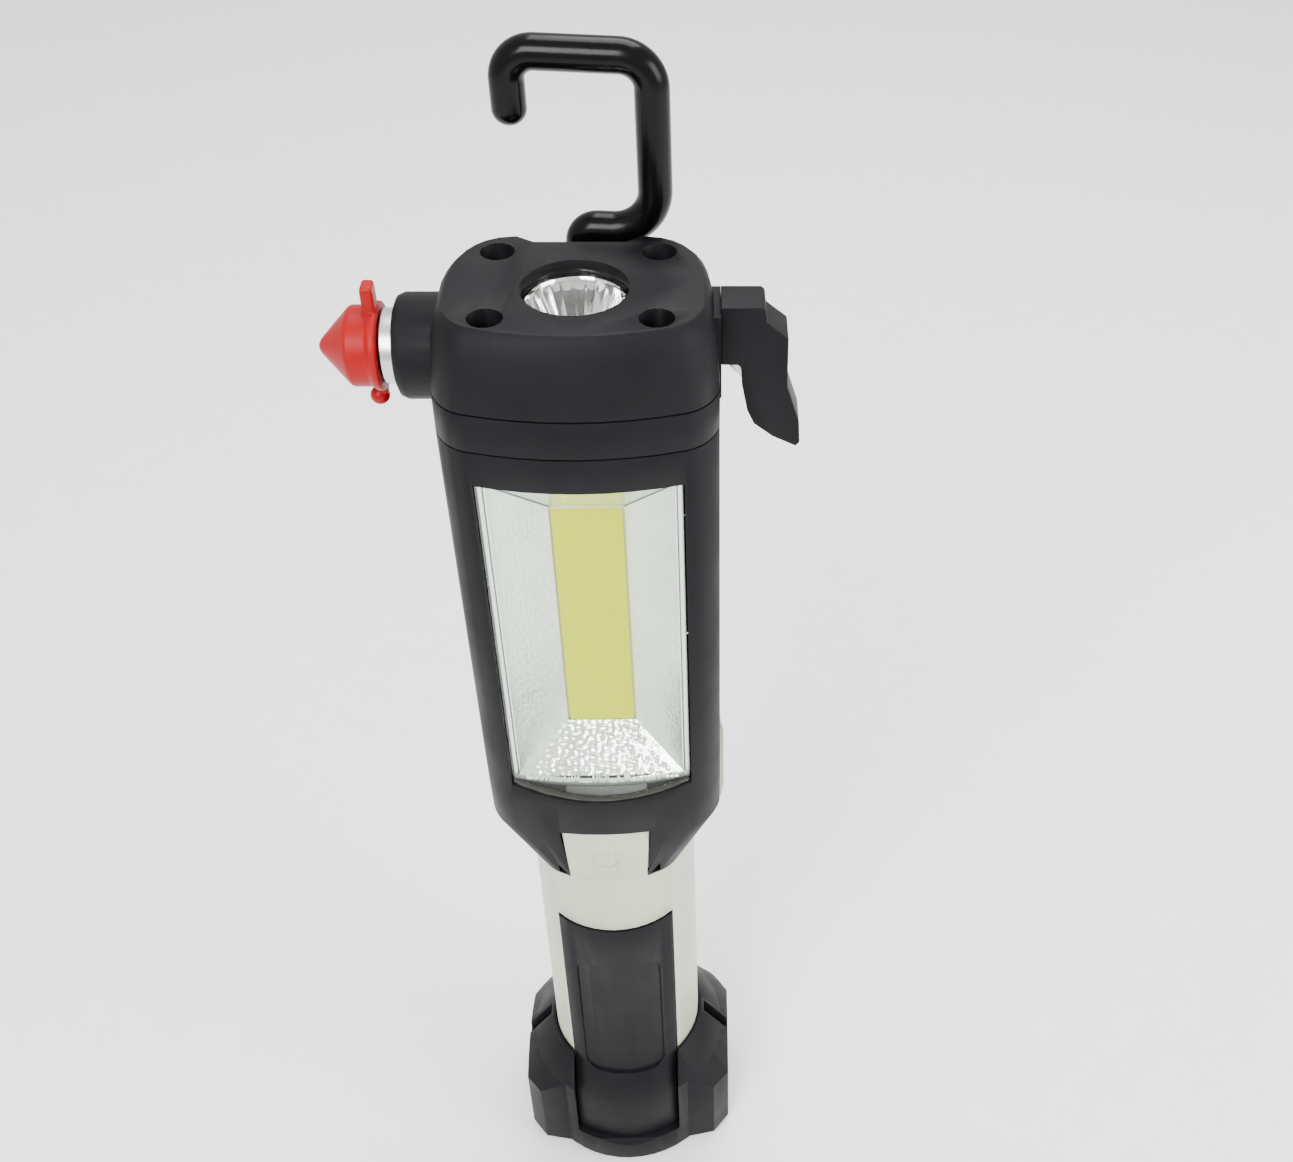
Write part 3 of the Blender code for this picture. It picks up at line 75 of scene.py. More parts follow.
def grained(name, dark, light, rough, metal=0.0, grain=9000.0, bump=0.02, mottle=90.0, **settings):
    """A material whose colour runs between dark and light with a soft noise, whose
    roughness runs between two values, and whose surface has a fine noise bump. The
    bump's height is in millimetres, and settings name further shader inputs."""
    material = bpy.data.materials.new(name)
    material.use_nodes = True
    nodes, links = material.node_tree.nodes, material.node_tree.links
    shader = nodes["Principled BSDF"]
    shader.inputs["Metallic"].default_value = metal
    for socket, value in settings.items():
        shader.inputs[socket.replace("_", " ")].default_value = value
    place = nodes.new("ShaderNodeTexCoord").outputs["Object"]
    drift = nodes.new("ShaderNodeTexNoise")
    drift.inputs["Scale"].default_value = mottle
    drift.inputs["Detail"].default_value = 4.0
    links.new(place, drift.inputs["Vector"])
    ramp = nodes.new("ShaderNodeValToRGB")
    ends = ((LOW_NOISE, dark), (HIGH_NOISE, light))
    for stop, (position, colour) in zip(ramp.color_ramp.elements, ends):
        stop.position, stop.color = position, (*colour, 1)
    links.new(drift.outputs["Fac"], ramp.inputs["Fac"])
    links.new(ramp.outputs["Color"], shader.inputs["Base Color"])
    spread = nodes.new("ShaderNodeMapRange")
    spread.inputs["From Min"].default_value = LOW_NOISE
    spread.inputs["From Max"].default_value = HIGH_NOISE
    spread.inputs["To Min"].default_value, spread.inputs["To Max"].default_value = rough
    links.new(drift.outputs["Fac"], spread.inputs["Value"])
    links.new(spread.outputs["Result"], shader.inputs["Roughness"])
    fine = nodes.new("ShaderNodeTexNoise")
    fine.inputs["Scale"].default_value = grain
    fine.inputs["Detail"].default_value = 2.0
    links.new(place, fine.inputs["Vector"])
    raise_it = nodes.new("ShaderNodeBump")
    raise_it.inputs["Strength"].default_value = 0.6
    raise_it.inputs["Distance"].default_value = bump * MM
    links.new(fine.outputs["Fac"], raise_it.inputs["Height"])
    links.new(raise_it.outputs["Normal"], shader.inputs["Normal"])
    return material


# %% [markdown]
# The casing is black plastic under a soft rubbery coat: dark, matt, with a faint
# sheen where it turns away. The hook is bare gloss nylon, the handle and button are
# a warm cream ABS that light sinks into a little, and the tip's cap is a soft red.

# %% The plastics
soft_black = grained("soft_black", (0.0026, 0.0024, 0.0034), (0.0042, 0.0040, 0.0054),
                     (0.46, 0.60), grain=5200, bump=0.035, Specular_IOR_Level=0.13)
gloss_black = grained("gloss_black", (0.0010, 0.0010, 0.0012), (0.0018, 0.0018, 0.0021),
                      (0.16, 0.26), grain=1400, bump=0.02, Specular_IOR_Level=0.13)
cream = grained("cream", (0.42, 0.435, 0.335), (0.47, 0.485, 0.38), (0.34, 0.46),
                grain=4200, bump=0.012, Subsurface_Weight=0.15, Subsurface_Scale=2 * MM)
red = grained("red", (0.24, 0.0002, 0.0014), (0.29, 0.0003, 0.0024), (0.36, 0.48),
              grain=2600, bump=0.02, Specular_IOR_Level=0.16)
print("plastics:", soft_black.name, gloss_black.name, cream.name, red.name)

# %% [markdown]
# Metals differ mostly in colour and in how fine their polish is. The lamp strip is
# silicone full of yellow phosphor, with a grain that shows as faint specks. The lamp
# is off, and the emission on the phosphor is a painted glow that makes its yellow brighter.

# %% The metals, the boards and the lamp strip
steel = grained("steel", (0.50, 0.50, 0.51), (0.60, 0.60, 0.61), (0.18, 0.34), 1.0, 6000, 0.01)
dark_metal = grained("dark_metal", (0.035, 0.035, 0.037), (0.06, 0.06, 0.062), (0.3, 0.45),
                     1.0, 5000, 0.015)
aluminium = grained("aluminium", (0.62, 0.63, 0.64), (0.70, 0.71, 0.72), (0.35, 0.5),
                    1.0, 3500, 0.02)
brass = grained("brass", (0.60, 0.42, 0.16), (0.70, 0.50, 0.20), (0.22, 0.34), 1.0, 4000, 0.01)
board = grained("board", (0.72, 0.73, 0.72), (0.78, 0.79, 0.78), (0.35, 0.5),
                grain=3000, bump=0.01)
cell_wrap = grained("cell_wrap", (0.02, 0.10, 0.22), (0.03, 0.14, 0.28), (0.2, 0.3),
                    grain=2500, bump=0.005, Coat_Weight=0.4)
# The emission is a painted glow: the strip is not lit, yet it shines yellow.
phosphor = grained("phosphor", (0.14, 0.15, 0.0), (0.19, 0.20, 0.0), (0.5, 0.62),
                   grain=3200, bump=0.03, mottle=420, Specular_IOR_Level=0.02,
                   Emission_Color=(0.95, 1.0, 0.0, 1), Emission_Strength=1.15)
silvered = grained("silvered", (0.80, 0.85, 0.80), (0.86, 0.91, 0.86), (0.20, 0.30),
                   0.75, 1500, 0.03)
print("metals and lamp finishes:", steel.name, silvered.name, phosphor.name)

# %% [markdown]
# The window is a thin clear sheet. Light has to reach the reflector behind it, so
# it is a Transparent BSDF with a gloss laid over it. The gloss grows with the fourth
# power of how far the surface turns away: the sheet mirrors the room at grazing
# angles and lets the rest straight through.

# %% The clear sheet
HAZE = 0.04                   # roughness of the gloss
LEAST_GLOSS, MOST_GLOSS = 0.012, 0.7


def clear_sheet(name):
    """Transparent and glossy, mixed by how far the surface turns away."""
    material = bpy.data.materials.new(name)
    material.use_nodes = True
    nodes, links = material.node_tree.nodes, material.node_tree.links
    nodes.remove(nodes["Principled BSDF"])
    through = nodes.new("ShaderNodeBsdfTransparent")
    through.inputs["Color"].default_value = (0.975, 0.99, 0.975, 1)
    gloss = nodes.new("ShaderNodeBsdfGlossy")
    gloss.inputs["Roughness"].default_value = HAZE
    facing = nodes.new("ShaderNodeLayerWeight")
    steep = nodes.new("ShaderNodeMath")
    steep.operation = "POWER"
    steep.inputs[1].default_value = 4.0
    edge = nodes.new("ShaderNodeMapRange")
    edge.inputs["To Min"].default_value = LEAST_GLOSS
    edge.inputs["To Max"].default_value = MOST_GLOSS
    mix = nodes.new("ShaderNodeMixShader")
    links.new(facing.outputs["Facing"], steep.inputs[0])
    links.new(steep.outputs["Value"], edge.inputs["Value"])
    links.new(edge.outputs["Result"], mix.inputs["Fac"])
    links.new(through.outputs["BSDF"], mix.inputs[1])
    links.new(gloss.outputs["BSDF"], mix.inputs[2])
    links.new(mix.outputs["Shader"], nodes["Material Output"].inputs["Surface"])
    return material


clear = clear_sheet("clear")
FINISH = {
    "soft_black": soft_black, "gloss_black": gloss_black, "cream": cream, "red": red,
    "clear": clear, "silvered": silvered, "phosphor": phosphor, "board": board,
    "steel": steel, "dark_metal": dark_metal, "aluminium": aluminium, "brass": brass,
    "cell_wrap": cell_wrap,
}
for node, thing in frame["nodes"].items():
    thing.data.materials.clear()
    thing.data.materials.append(FINISH[SLOT_OF[node]])
print(len(FINISH), "finishes")

# %% [markdown]
# ## Eased edges
#
# A mould leaves no sharp edge. For the pieces whose form is already right, the
# node's own triangles are copied, merged and dissolved back to flat faces, and a
# Bevel modifier rounds the edges. The node itself stays as it is, out of sight.

# %% A softened copy of a node
def settle(piece, node):
    """The piece stands for the node: it joins the node's body, and the node is hidden."""
    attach(piece, BODY_OF[node])
    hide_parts(node)
    return piece


MERGE = 1e-7                  # points closer than this become one
FLAT_WITHIN, SHARP_FROM = math.radians(0.8), math.radians(32)


def eased(node, name, radius):
    """The node's mesh, its doubles merged, its flat faces dissolved to one each,
    its sharp edges rounded by the radius."""
    piece = bpy.data.objects.new(name, frame["nodes"][node].data.copy())
    bpy.context.scene.collection.objects.link(piece)
    form = bmesh.new()
    form.from_mesh(piece.data)
    bmesh.ops.remove_doubles(form, verts=form.verts, dist=MERGE)
    bmesh.ops.dissolve_limit(form, angle_limit=FLAT_WITHIN, verts=form.verts, edges=form.edges)
    form.to_mesh(piece.data)
    form.free()
    for face in piece.data.polygons:
        face.use_smooth = True
    ease = piece.modifiers.new("eased_edges", "BEVEL")
    ease.width = radius
    ease.segments = 2
    ease.limit_method = "ANGLE"
    ease.angle_limit = SHARP_FROM
    ease.harden_normals = True
    ease.use_clamp_overlap = True
    return settle(piece, node)


CASING = {                    # node: name of its copy, radius of its edges in millimetres
    "head_cap": ("top_cap", 0.7), "head_deck": ("deck_band", 0.35),
    "front_shell": ("front_casing", 0.45), "back_shell": ("back_casing", 0.45),
    "rear_saddle": ("cream_saddle", 0.7), "hook_bracket": ("fold_bracket", 0.3),
    "hook_block": ("swivel_block", 0.4), "cutter_guard": ("cutter_arm", 0.45),
    "base_cup": ("base_bumper", 0.7), "power_button": ("rocker_button", 0.75),
    "grip_front": ("front_inlay", 0.3), "grip_back": ("rear_inlay", 0.3),
    "handle_tube": ("cream_handle", 0.25),
}
ROOT_GAP, ROOT_LEFT = 0.35 * MM, 0.02 * MM      # the cutter arm's gap, and what is left of it
for node, (name, radius) in CASING.items():
    eased(node, name, radius * MM)
arm = bpy.data.objects["cutter_arm"]
seat_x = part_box("head_cap")[1].x
for vertex in arm.data.vertices:          # the arm's root closes up to the pad it is fixed to
    if seat_x < vertex.co.x < seat_x + ROOT_GAP:
        vertex.co.x = seat_x + ROOT_LEFT
print("eased:", ", ".join(name for name, _ in CASING.values()))

# %% [markdown]
# ## Surfaces from arrays
#
# The pieces that catch the light are built afresh from numpy arrays. A turned
# piece is a profile of (radius, height) pairs carried round an axis. A swept piece
# is a circle carried along a path. Both are a grid of points, and one helper turns
# any such grid into a mesh.

# %% From grids to meshes
def grid_faces(rows, columns, wrap=False):
    """Quads between neighbouring points of a rows by columns grid. With wrap the
    last column joins the first."""
    index = np.arange(rows * columns).reshape(rows, columns)
    ahead = np.roll(index, -1, axis=1) if wrap else index[:, 1:]
    here = index if wrap else index[:, :-1]
    return np.stack([here[:-1], ahead[:-1], ahead[1:], here[1:]], axis=-1).reshape(-1, 4)


WELD = 1e-6                   # points of a grid closer than this become one
CREASE_FROM = math.radians(38)


def piece_from(name, points, faces, finish):
    """A mesh object of points and quads. Doubles are merged, so poles and seams
    close, and normals are made to point outwards."""
    mesh = bpy.data.meshes.new(name)
    mesh.from_pydata(points.reshape(-1, 3).tolist(), [], faces.tolist())
    form = bmesh.new()
    form.from_mesh(mesh)
    bmesh.ops.remove_doubles(form, verts=form.verts, dist=WELD)
    bmesh.ops.recalc_face_normals(form, faces=form.faces)
    form.to_mesh(mesh)
    form.free()
    mesh.polygons.foreach_set("use_smooth", np.ones(len(mesh.polygons), bool))
    mesh.set_sharp_from_angle(angle=CREASE_FROM)
    mesh.materials.append(finish)
    piece = bpy.data.objects.new(name, mesh)
    bpy.context.scene.collection.objects.link(piece)
    return piece


def eased_profile(corners, radius, steps=4):
    """Each inner corner of a profile becomes a quadratic Bezier that starts and
    ends at most the radius away from it; the two end points stay. A curve never
    takes half of a side, so that its neighbour has room too."""
    points = np.asarray(corners, float)
    most = 0.45
    t = np.linspace(0, 1, steps + 1)[:, None]
    out = [points[:1]]
    for before, corner, after in zip(points[:-2], points[1:-1], points[2:]):
        back, ahead = before - corner, after - corner
        reach = min(radius, most * np.linalg.norm(back), most * np.linalg.norm(ahead))
        start = corner + back / np.linalg.norm(back) * reach
        end = corner + ahead / np.linalg.norm(ahead) * reach
        out.append((1 - t) ** 2 * start + 2 * t * (1 - t) * corner + t ** 2 * end)
    out.append(points[-1:])
    return np.concatenate(out)


def turned_points(profile, steps=96):
    """(radius, height) turned about Z: x = r cos a, y = r sin a, z = h."""
    angle = np.arange(steps) * 2 * np.pi / steps
    radius, height = profile[:, :1], profile[:, 1:]
    return np.stack([radius * np.cos(angle), radius * np.sin(angle), height + 0 * angle], axis=-1)


def set_up(points, centre, axis="Z"):
    """Turned points stood along an axis through a centre. Along X, heights run
    along X; along Y, they run along Y."""
    x, y, z = points[..., 0], points[..., 1], points[..., 2]
    order = {"Z": (x, y, z), "X": (z, x, y), "Y": (y, z, x)}[axis]
    return np.stack(order, axis=-1) + np.asarray(centre, float)


def turned(name, corners, centre, finish, radius, axis="Z", steps=96):
    """A turned piece with eased corners, closed at its poles."""
    points = set_up(turned_points(eased_profile(corners, radius), steps), centre, axis)
    return piece_from(name, points, grid_faces(len(points), steps, wrap=True), finish)


def ripple(points, wavelength, seed, count=36, spread=(0.75, 1.35)):
    """Smooth random relief of unit size: a sum of plane waves of nearly one
    wavelength, in random directions and phases, from a seeded generator."""
    dice = np.random.default_rng(seed)
    direction = dice.normal(size=(3, count))
    direction /= np.linalg.norm(direction, axis=0)
    number = 2 * np.pi / (wavelength * dice.uniform(*spread, count))
    phase = dice.uniform(0, 2 * np.pi, count)
    return np.cos(points @ (direction * number) + phase).sum(-1) * math.sqrt(2 / count)


print("helpers ready")

# %% [markdown]
# ## The window lamp
#
# Behind the window lies a tray of four sloped walls, vacuum-silvered, round a strip
# of light-emitting chips under yellow phosphor. The lower wall has a coarse orange
# peel that scatters the light, the others a fine one. Each wall is a bilinear patch
# between the tray's rim and the strip's opening, pushed in and out by a relief
# that dies away at the wall's edges so that the walls still meet.

# %% The silvered tray
tray_low, tray_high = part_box("cob_reflector")
strip_low, strip_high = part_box("cob_phosphor")
LIP = 0.7 * MM                # the opening stands this far outside the strip
RIM = 1.0 * MM                # flat rim round the tray's mouth
SAG = 3.0 * MM                # drop of the window's lower edge at its middle
TRAY_FLOOR = 0.1 * MM         # the opening lies this far in front of the tray's back
FADE = 12                     # the relief reaches full height a twelfth of the way in
mouth_y, throat_y = tray_low.y, tray_high.y - TRAY_FLOOR
half_mouth, mouth_top, mouth_foot = tray_high.x, tray_high.z, tray_low.z + SAG
inner_mouth, inner_top, inner_foot = half_mouth - RIM, mouth_top - RIM, mouth_foot + RIM
half_throat = strip_high.x + LIP
throat_top, throat_foot = strip_high.z + LIP, strip_low.z - LIP


def ruled(start_a, end_a, start_b, end_b, rows, columns, sag_a):
    """Straight lines between edge A and edge B. Edge A may sag in Z by a parabola
    that is zero at its ends: z = z - sag (1 - s^2), s from -1 to 1."""
    u = np.linspace(0, 1, columns)[None, :, None]
    v = np.linspace(0, 1, rows)[:, None, None]
    edge_a = (1 - u) * np.array(start_a) + u * np.array(end_a)
    edge_a[..., 2] -= sag_a * (1 - (2 * u[..., 0] - 1) ** 2)
    edge_b = (1 - u) * np.array(start_b) + u * np.array(end_b)
    return (1 - v) * edge_a + v * edge_b


def peeled(points, wavelength, height, seed):
    """Points moved along their patch's normal by a ripple that is zero on all four
    edges."""
    across = np.gradient(points, axis=1)
    along = np.gradient(points, axis=0)
    normal = np.cross(across, along)
    normal /= np.linalg.norm(normal, axis=-1, keepdims=True)
    fade_v, fade_u = (np.minimum(1, FADE * np.minimum(np.linspace(0, 1, n), np.linspace(1, 0, n)))
                      for n in points.shape[:2])
    fade = fade_v[:, None] * fade_u[None, :]
    return points + normal * (ripple(points, wavelength, seed) * height * fade)[..., None]


# Three outlines, from the outside in: the tray's mouth, the inside of its rim, and the
# opening round the strip. Each is its half width, y, top and foot.
MOUTH_OF_TRAY = (half_mouth, mouth_y, mouth_top, mouth_foot)
INSIDE_RIM = (inner_mouth, mouth_y, inner_top, inner_foot)
ROUND_STRIP = (half_throat, throat_y, throat_top, throat_foot)


def edge_of(opening, side):
    """The two ends of one edge of an opening, in turn round it."""
    half, y, top, foot = opening
    left_top, right_top = (-half, y, top), (half, y, top)
    left_foot, right_foot = (-half, y, foot), (half, y, foot)
    return {"lower": (left_foot, right_foot), "upper": (right_top, left_top),
            "left": (left_top, left_foot), "right": (right_foot, right_top)}[side]


# side: seed, rows and columns, wavelength and height of the orange peel in millimetres
PEEL = {
    "lower": (3, (90, 220), 1.15, 0.055), "upper": (4, (50, 120), 0.9, 0.006),
    "left": (5, (60, 320), 0.8, 0.022), "right": (6, (60, 320), 0.8, 0.014),
}
walls, rim_walls = [], []
for side, (seed, shape, wavelength, height) in PEEL.items():
    sag = SAG if side == "lower" else 0.0
    mouth, inside, opening = (edge_of(o, side) for o in (MOUTH_OF_TRAY, INSIDE_RIM, ROUND_STRIP))
    flat_wall = ruled(*inside, *opening, *shape, sag)
    walls.append(peeled(flat_wall, wavelength * MM, height * MM, seed))
    rim_walls.append(ruled(*mouth, *inside, 4, shape[1] if side == "lower" else 60, sag))
rim_walls[0][-1] = walls[0][0]      # the sagging rim ends on the lower wall
all_points, all_faces, count = [], [], 0
for patch in walls + rim_walls:
    all_points.append(patch.reshape(-1, 3))
    all_faces.append(grid_faces(*patch.shape[:2]) + count)
    count += len(all_points[-1])
tray = piece_from("silvered_tray", np.concatenate(all_points), np.concatenate(all_faces), silvered)
wall = tray.modifiers.new("sheet", "SOLIDIFY")
wall.thickness, wall.offset = 0.5 * MM, 1.0
settle(tray, "cob_reflector")
print("tray:", len(tray.data.polygons), "faces")

# %% [markdown]
# The strip is a shallow slab whose surface is poured, so it rounds off at its edge.
# High powers of the distance from its middle keep the face flat and drop the edge.

# %% The phosphor strip
CROWN = 0.25 * MM
SPECK, SPECK_HEIGHT, SPECK_SEED = 1.4 * MM, 0.012 * MM, 11


def poured_slab(name, low, high, finish, columns=60, rows=200):
    """A slab facing -Y. In u, v from -1 to 1 its face is
    y = front + crown (u^8 + v^16), so it is flat inside and rolls off at its edge."""
    u, v = np.meshgrid(np.linspace(-1, 1, columns), np.linspace(-1, 1, rows))
    x = (low.x + high.x) / 2 + u * (high.x - low.x) / 2
    z = (low.z + high.z) / 2 + v * (high.z - low.z) / 2
    y = low.y + CROWN * (u ** 8 + v ** 16)
    front = np.stack([x, y, z], axis=-1)
    front[..., 1] += ripple(front, SPECK, SPECK_SEED) * SPECK_HEIGHT
    ring = np.concatenate([front[0], front[1:, -1], front[-1, -2::-1], front[-2:0:-1, 0]])
    back = ring.copy()
    back[:, 1] = high.y
    points = np.concatenate([front.reshape(-1, 3), ring, back])
    skirt = grid_faces(2, len(ring), wrap=True) + rows * columns
    return piece_from(name, points, np.concatenate([grid_faces(rows, columns), skirt]), finish)


strip = settle(poured_slab("phosphor_strip", strip_low, strip_high, phosphor), "cob_phosphor")
print("strip:", len(strip.data.polygons), "faces")

# %% [markdown]
# The window bows forward across its width like the face of the casing, with its
# lower edge an arc. One grid gives the outer skin, and Solidify gives it a wall
# whose edges are then rounded.

# %% The window
lens_low, lens_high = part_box("window_lens")
BOW, PANE, PANE_EDGE = 2.8 * MM, 1.5 * MM, 0.25 * MM
across, up = np.meshgrid(np.linspace(-1, 1, 61), np.linspace(0, 1, 41))
half_lens = lens_high.x
foot = lens_low.z + SAG - SAG * (1 - across ** 2)
skin = np.stack([across * half_lens, lens_low.y + BOW * across ** 2,
                 foot + (lens_high.z - foot) * up], axis=-1)
window = piece_from("window_pane", skin, grid_faces(*skin.shape[:2]), clear)
if window.data.polygons[0].normal.y > 0:
    window.data.flip_normals()
pane = window.modifiers.new("pane", "SOLIDIFY")
pane.thickness, pane.offset = PANE, -1.0
lip = window.modifiers.new("pane_edges", "BEVEL")
lip.width, lip.segments, lip.limit_method = PANE_EDGE, 2, "ANGLE"
settle(window, "window_lens")
print("window:", round(2 * half_lens / MM, 1), "mm wide")

# %% [markdown]
# ## The torch
#
# A small silvered bowl, close to a parabola, whose surface is pressed into narrow
# upright facets. They pull the light into streaks. The radius is the parabola's
# less a shallow pattern of arcs round the axis.

# %% Bowl, dome and lens of the torch
bowl_low, bowl_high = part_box("torch_reflector")
bowl_centre = (bowl_low + bowl_high) / 2
MOUTH, THROAT = 9.1 * MM, 2.6 * MM
FLUTES, FLUTE_DEPTH, FLUTES_START = 26, 0.12 * MM, 6
BOWL_STEPS, BOWL_ROWS = 288, 60
turn_by = np.linspace(0, 2 * np.pi, BOWL_STEPS + 1)[:-1]
share = np.linspace(1, 0, BOWL_ROWS)[:, None]      # of the bowl's height, from its mouth down
bowl_r = np.sqrt(THROAT ** 2 + share * (MOUTH ** 2 - THROAT ** 2))
fade = np.minimum(1, FLUTES_START * (1 - share)) * share ** 0.4
bowl_r = bowl_r - FLUTE_DEPTH * np.abs(np.sin(FLUTES * turn_by / 2)) * fade
bowl_z = bowl_low.z + share * (bowl_high.z - bowl_low.z) + 0 * turn_by
inner = np.stack([bowl_r * np.cos(turn_by), bowl_r * np.sin(turn_by), bowl_z], axis=-1)
flange_r = (bowl_high.x - bowl_low.x) / 2
brim = turned_points(np.array([(flange_r, bowl_high.z - 1.2 * MM), (flange_r, bowl_high.z)]),
                     BOWL_STEPS)
bowl_points = np.concatenate([brim, inner]) + np.array([bowl_centre.x, bowl_centre.y, 0])
mirror = grained("mirror", (0.86, 0.86, 0.85), (0.90, 0.90, 0.89), (0.05, 0.10), 1.0, 800, 0.01)
bowl_faces = grid_faces(len(bowl_points), BOWL_STEPS, wrap=True)
bowl = piece_from("torch_bowl", bowl_points, bowl_faces, mirror)
sheet = bowl.modifiers.new("sheet", "SOLIDIFY")
sheet.thickness, sheet.offset = 0.4 * MM, 1.0
settle(bowl, "torch_reflector")

dome_low, dome_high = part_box("torch_led")
lift = np.linspace(0, math.pi / 2, 16)
dome_r = dome_high.z - dome_low.z
dome_profile = np.concatenate([[(0, 0)], dome_r * np.stack([np.cos(lift), np.sin(lift)], axis=-1)])
dome_points = set_up(turned_points(dome_profile, 48), (bowl_centre.x, bowl_centre.y, dome_low.z))
# The dome takes the phosphor finish, so it carries the same painted glow; the torch is not lit.
dome = piece_from("torch_dome", dome_points, grid_faces(len(dome_profile), 48, wrap=True), phosphor)
settle(dome, "torch_led")

glass_low, glass_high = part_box("torch_lens")
glass_r, glass_h = (glass_high.x - glass_low.x) / 2, glass_high.z - glass_low.z
glass = turned("torch_glass", [(0, 0), (glass_r, 0), (glass_r, glass_h), (0, glass_h)],
               (bowl_centre.x, bowl_centre.y, glass_low.z), clear, radius=0.2 * MM)
settle(glass, "torch_lens")
print("torch:", round(2 * MOUTH / MM, 1), "mm across")

# %% [markdown]
# ## The hook
#
# A round nylon rod bent to a loop with an open side: a stem, a short bar, a long
# leg, the top bar and a blunt tip. The route's corners become arcs of their own
# bend radius, a circle is carried along it, and the tip closes as a half ellipse.

# %% A rod along a bent route
hook_low, hook_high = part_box("hook")
block_low, block_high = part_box("hook_block")
HOOK_TURN = math.radians(-5.5)
ROD, STEM = 3.1 * MM, 2.2 * MM              # radii of the rod and of the stem in the block
BAR_RISE, STEM_RISE = 5.1 * MM, 9.5 * MM    # bar above the block's top, stem's end above its foot
TIP_DROP, TIP_LENGTH = 13.0 * MM, 3.0 * MM  # the tip's end below the top bar, its round part
BENDS = [3.0 * MM, 8.0 * MM, 5.5 * MM, 5.0 * MM]
hook_y = (block_low.y + block_high.y) / 2
top_z = hook_high.z - ROD
bar_z = block_high.z + BAR_RISE
leg_x = (hook_high.x - ROD) / math.cos(HOOK_TURN)
tip_x = (hook_low.x + ROD) / math.cos(HOOK_TURN)
round_z = top_z - TIP_DROP + TIP_LENGTH


def bent_route(corners, radii, steps=18):
    """Straight runs between corners, each inner corner an arc of its radius: the
    centre lies on the bisector, and points turn from one run to the next."""
    corners = [np.array(c, float) for c in corners]
    out = [corners[0][None]]
    for before, here, after, radius in zip(corners[:-2], corners[1:-1], corners[2:], radii):
        back = (before - here) / np.linalg.norm(before - here)
        ahead = (after - here) / np.linalg.norm(after - here)
        half = math.acos(np.clip(back @ ahead, -1, 1)) / 2
        centre = here + (back + ahead) / np.linalg.norm(back + ahead) * radius / math.sin(half)
        start, end = here + back * radius / math.tan(half), here + ahead * radius / math.tan(half)
        t = np.linspace(0, 1, steps)[:, None]
        span = math.pi - 2 * half
        arm_a, arm_b = start - centre, end - centre
        arc = np.sin((1 - t) * span) * arm_a + np.sin(t * span) * arm_b
        out.append(centre + arc / math.sin(span))
    return np.concatenate(out + [corners[-1][None]])


def swept(name, route, radii, across, finish, sides=40):
    """A circle of its own radius at each point of a route, in the plane square to
    the route. Across is the direction that is square to the whole route."""
    along = np.gradient(route, axis=0)
    along /= np.linalg.norm(along, axis=1, keepdims=True)
    across = np.asarray(across, float)[None]
    out = np.cross(across, along)
    angle = (np.arange(sides) * 2 * np.pi / sides)[None, :, None]
    ring = out[:, None] * np.cos(angle) + across[:, None] * np.sin(angle)
    points = route[:, None] + ring * radii[:, None, None]
    return piece_from(name, points, grid_faces(len(route), sides, wrap=True), finish)


# The route is drawn flat, as (distance from the stem, height), with a radius for each
# of its points: the stem's foot and its collar, the bent rod, the rounded tip.
neck = block_high.z + 0.3 * MM
stem_foot = block_low.z + STEM_RISE
stem = [(stem_foot, 0), (stem_foot, STEM), (neck - 0.05 * MM, STEM), (neck, STEM),
        (neck, ROD - 0.35 * MM), (neck + 0.15 * MM, ROD - 0.1 * MM), (neck + 0.35 * MM, ROD)]
bent_rod = bent_route([(0, block_high.z + 1.0 * MM), (0, bar_z), (leg_x, bar_z), (leg_x, top_z),
                       (tip_x, top_z), (tip_x, round_z)], BENDS)
swing = np.linspace(0, math.pi / 2, 9)[1:]
tip_run = np.stack([np.full(len(swing), tip_x), round_z - TIP_LENGTH * np.sin(swing)], axis=-1)
route = np.concatenate([[(0, height) for height, _ in stem], bent_rod, tip_run])
radii = np.concatenate([[radius for _, radius in stem], np.full(len(bent_rod), ROD),
                        ROD * np.maximum(np.cos(swing), 0)])
nudge = np.arange(len(route)) * 1e-9      # keeps points at one height apart, for their direction
hook_route = np.stack([route[:, 0] * math.cos(HOOK_TURN),
                       hook_y + route[:, 0] * math.sin(HOOK_TURN), route[:, 1] + nudge], axis=-1)
square_to_hook = (-math.sin(HOOK_TURN), math.cos(HOOK_TURN), 0)
settle(swept("nylon_hook", hook_route, radii, square_to_hook, gloss_black), "hook")
print("hook:", len(route), "rings")

# %% [markdown]
# ## The red cap
#
# A soft moulded hood over the glass-breaking point, with a rim, a pull tab above
# and a bead on a short lug below. Its parts blend into each other where they meet,
# as they do in a mould, so they are joined into one skin of small equal squares by
# a Remesh modifier, and a Smooth modifier then rounds every edge and corner.

# %% A moulded skin round several forms
hood_low, hood_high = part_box("hammer_cap")
point_low, point_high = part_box("hammer_tip")
side_z = (point_low.z + point_high.z) / 2
HOOD_R, HOOD_WALL, BRIM_R = 7.1 * MM, 1.2 * MM, 7.8 * MM
bore_r, rim_x = HOOD_R - HOOD_WALL, hood_high.x
hood_profile = [(bore_r, rim_x), (BRIM_R, rim_x), (BRIM_R, rim_x - 1.3 * MM),
                (HOOD_R, rim_x - 1.8 * MM), (HOOD_R, rim_x - 5.4 * MM),
                (1.2 * MM, hood_low.x + 0.5 * MM), (0, hood_low.x)]
hollow_profile = [(0, hood_low.x + 2.0 * MM), (bore_r, rim_x - 5.6 * MM), (bore_r, rim_x)]
hood_outline = np.concatenate([eased_profile(hood_profile, 0.5 * MM), np.array(hollow_profile)])
hood = set_up(turned_points(hood_outline, 120), (0, 0, side_z), "X")


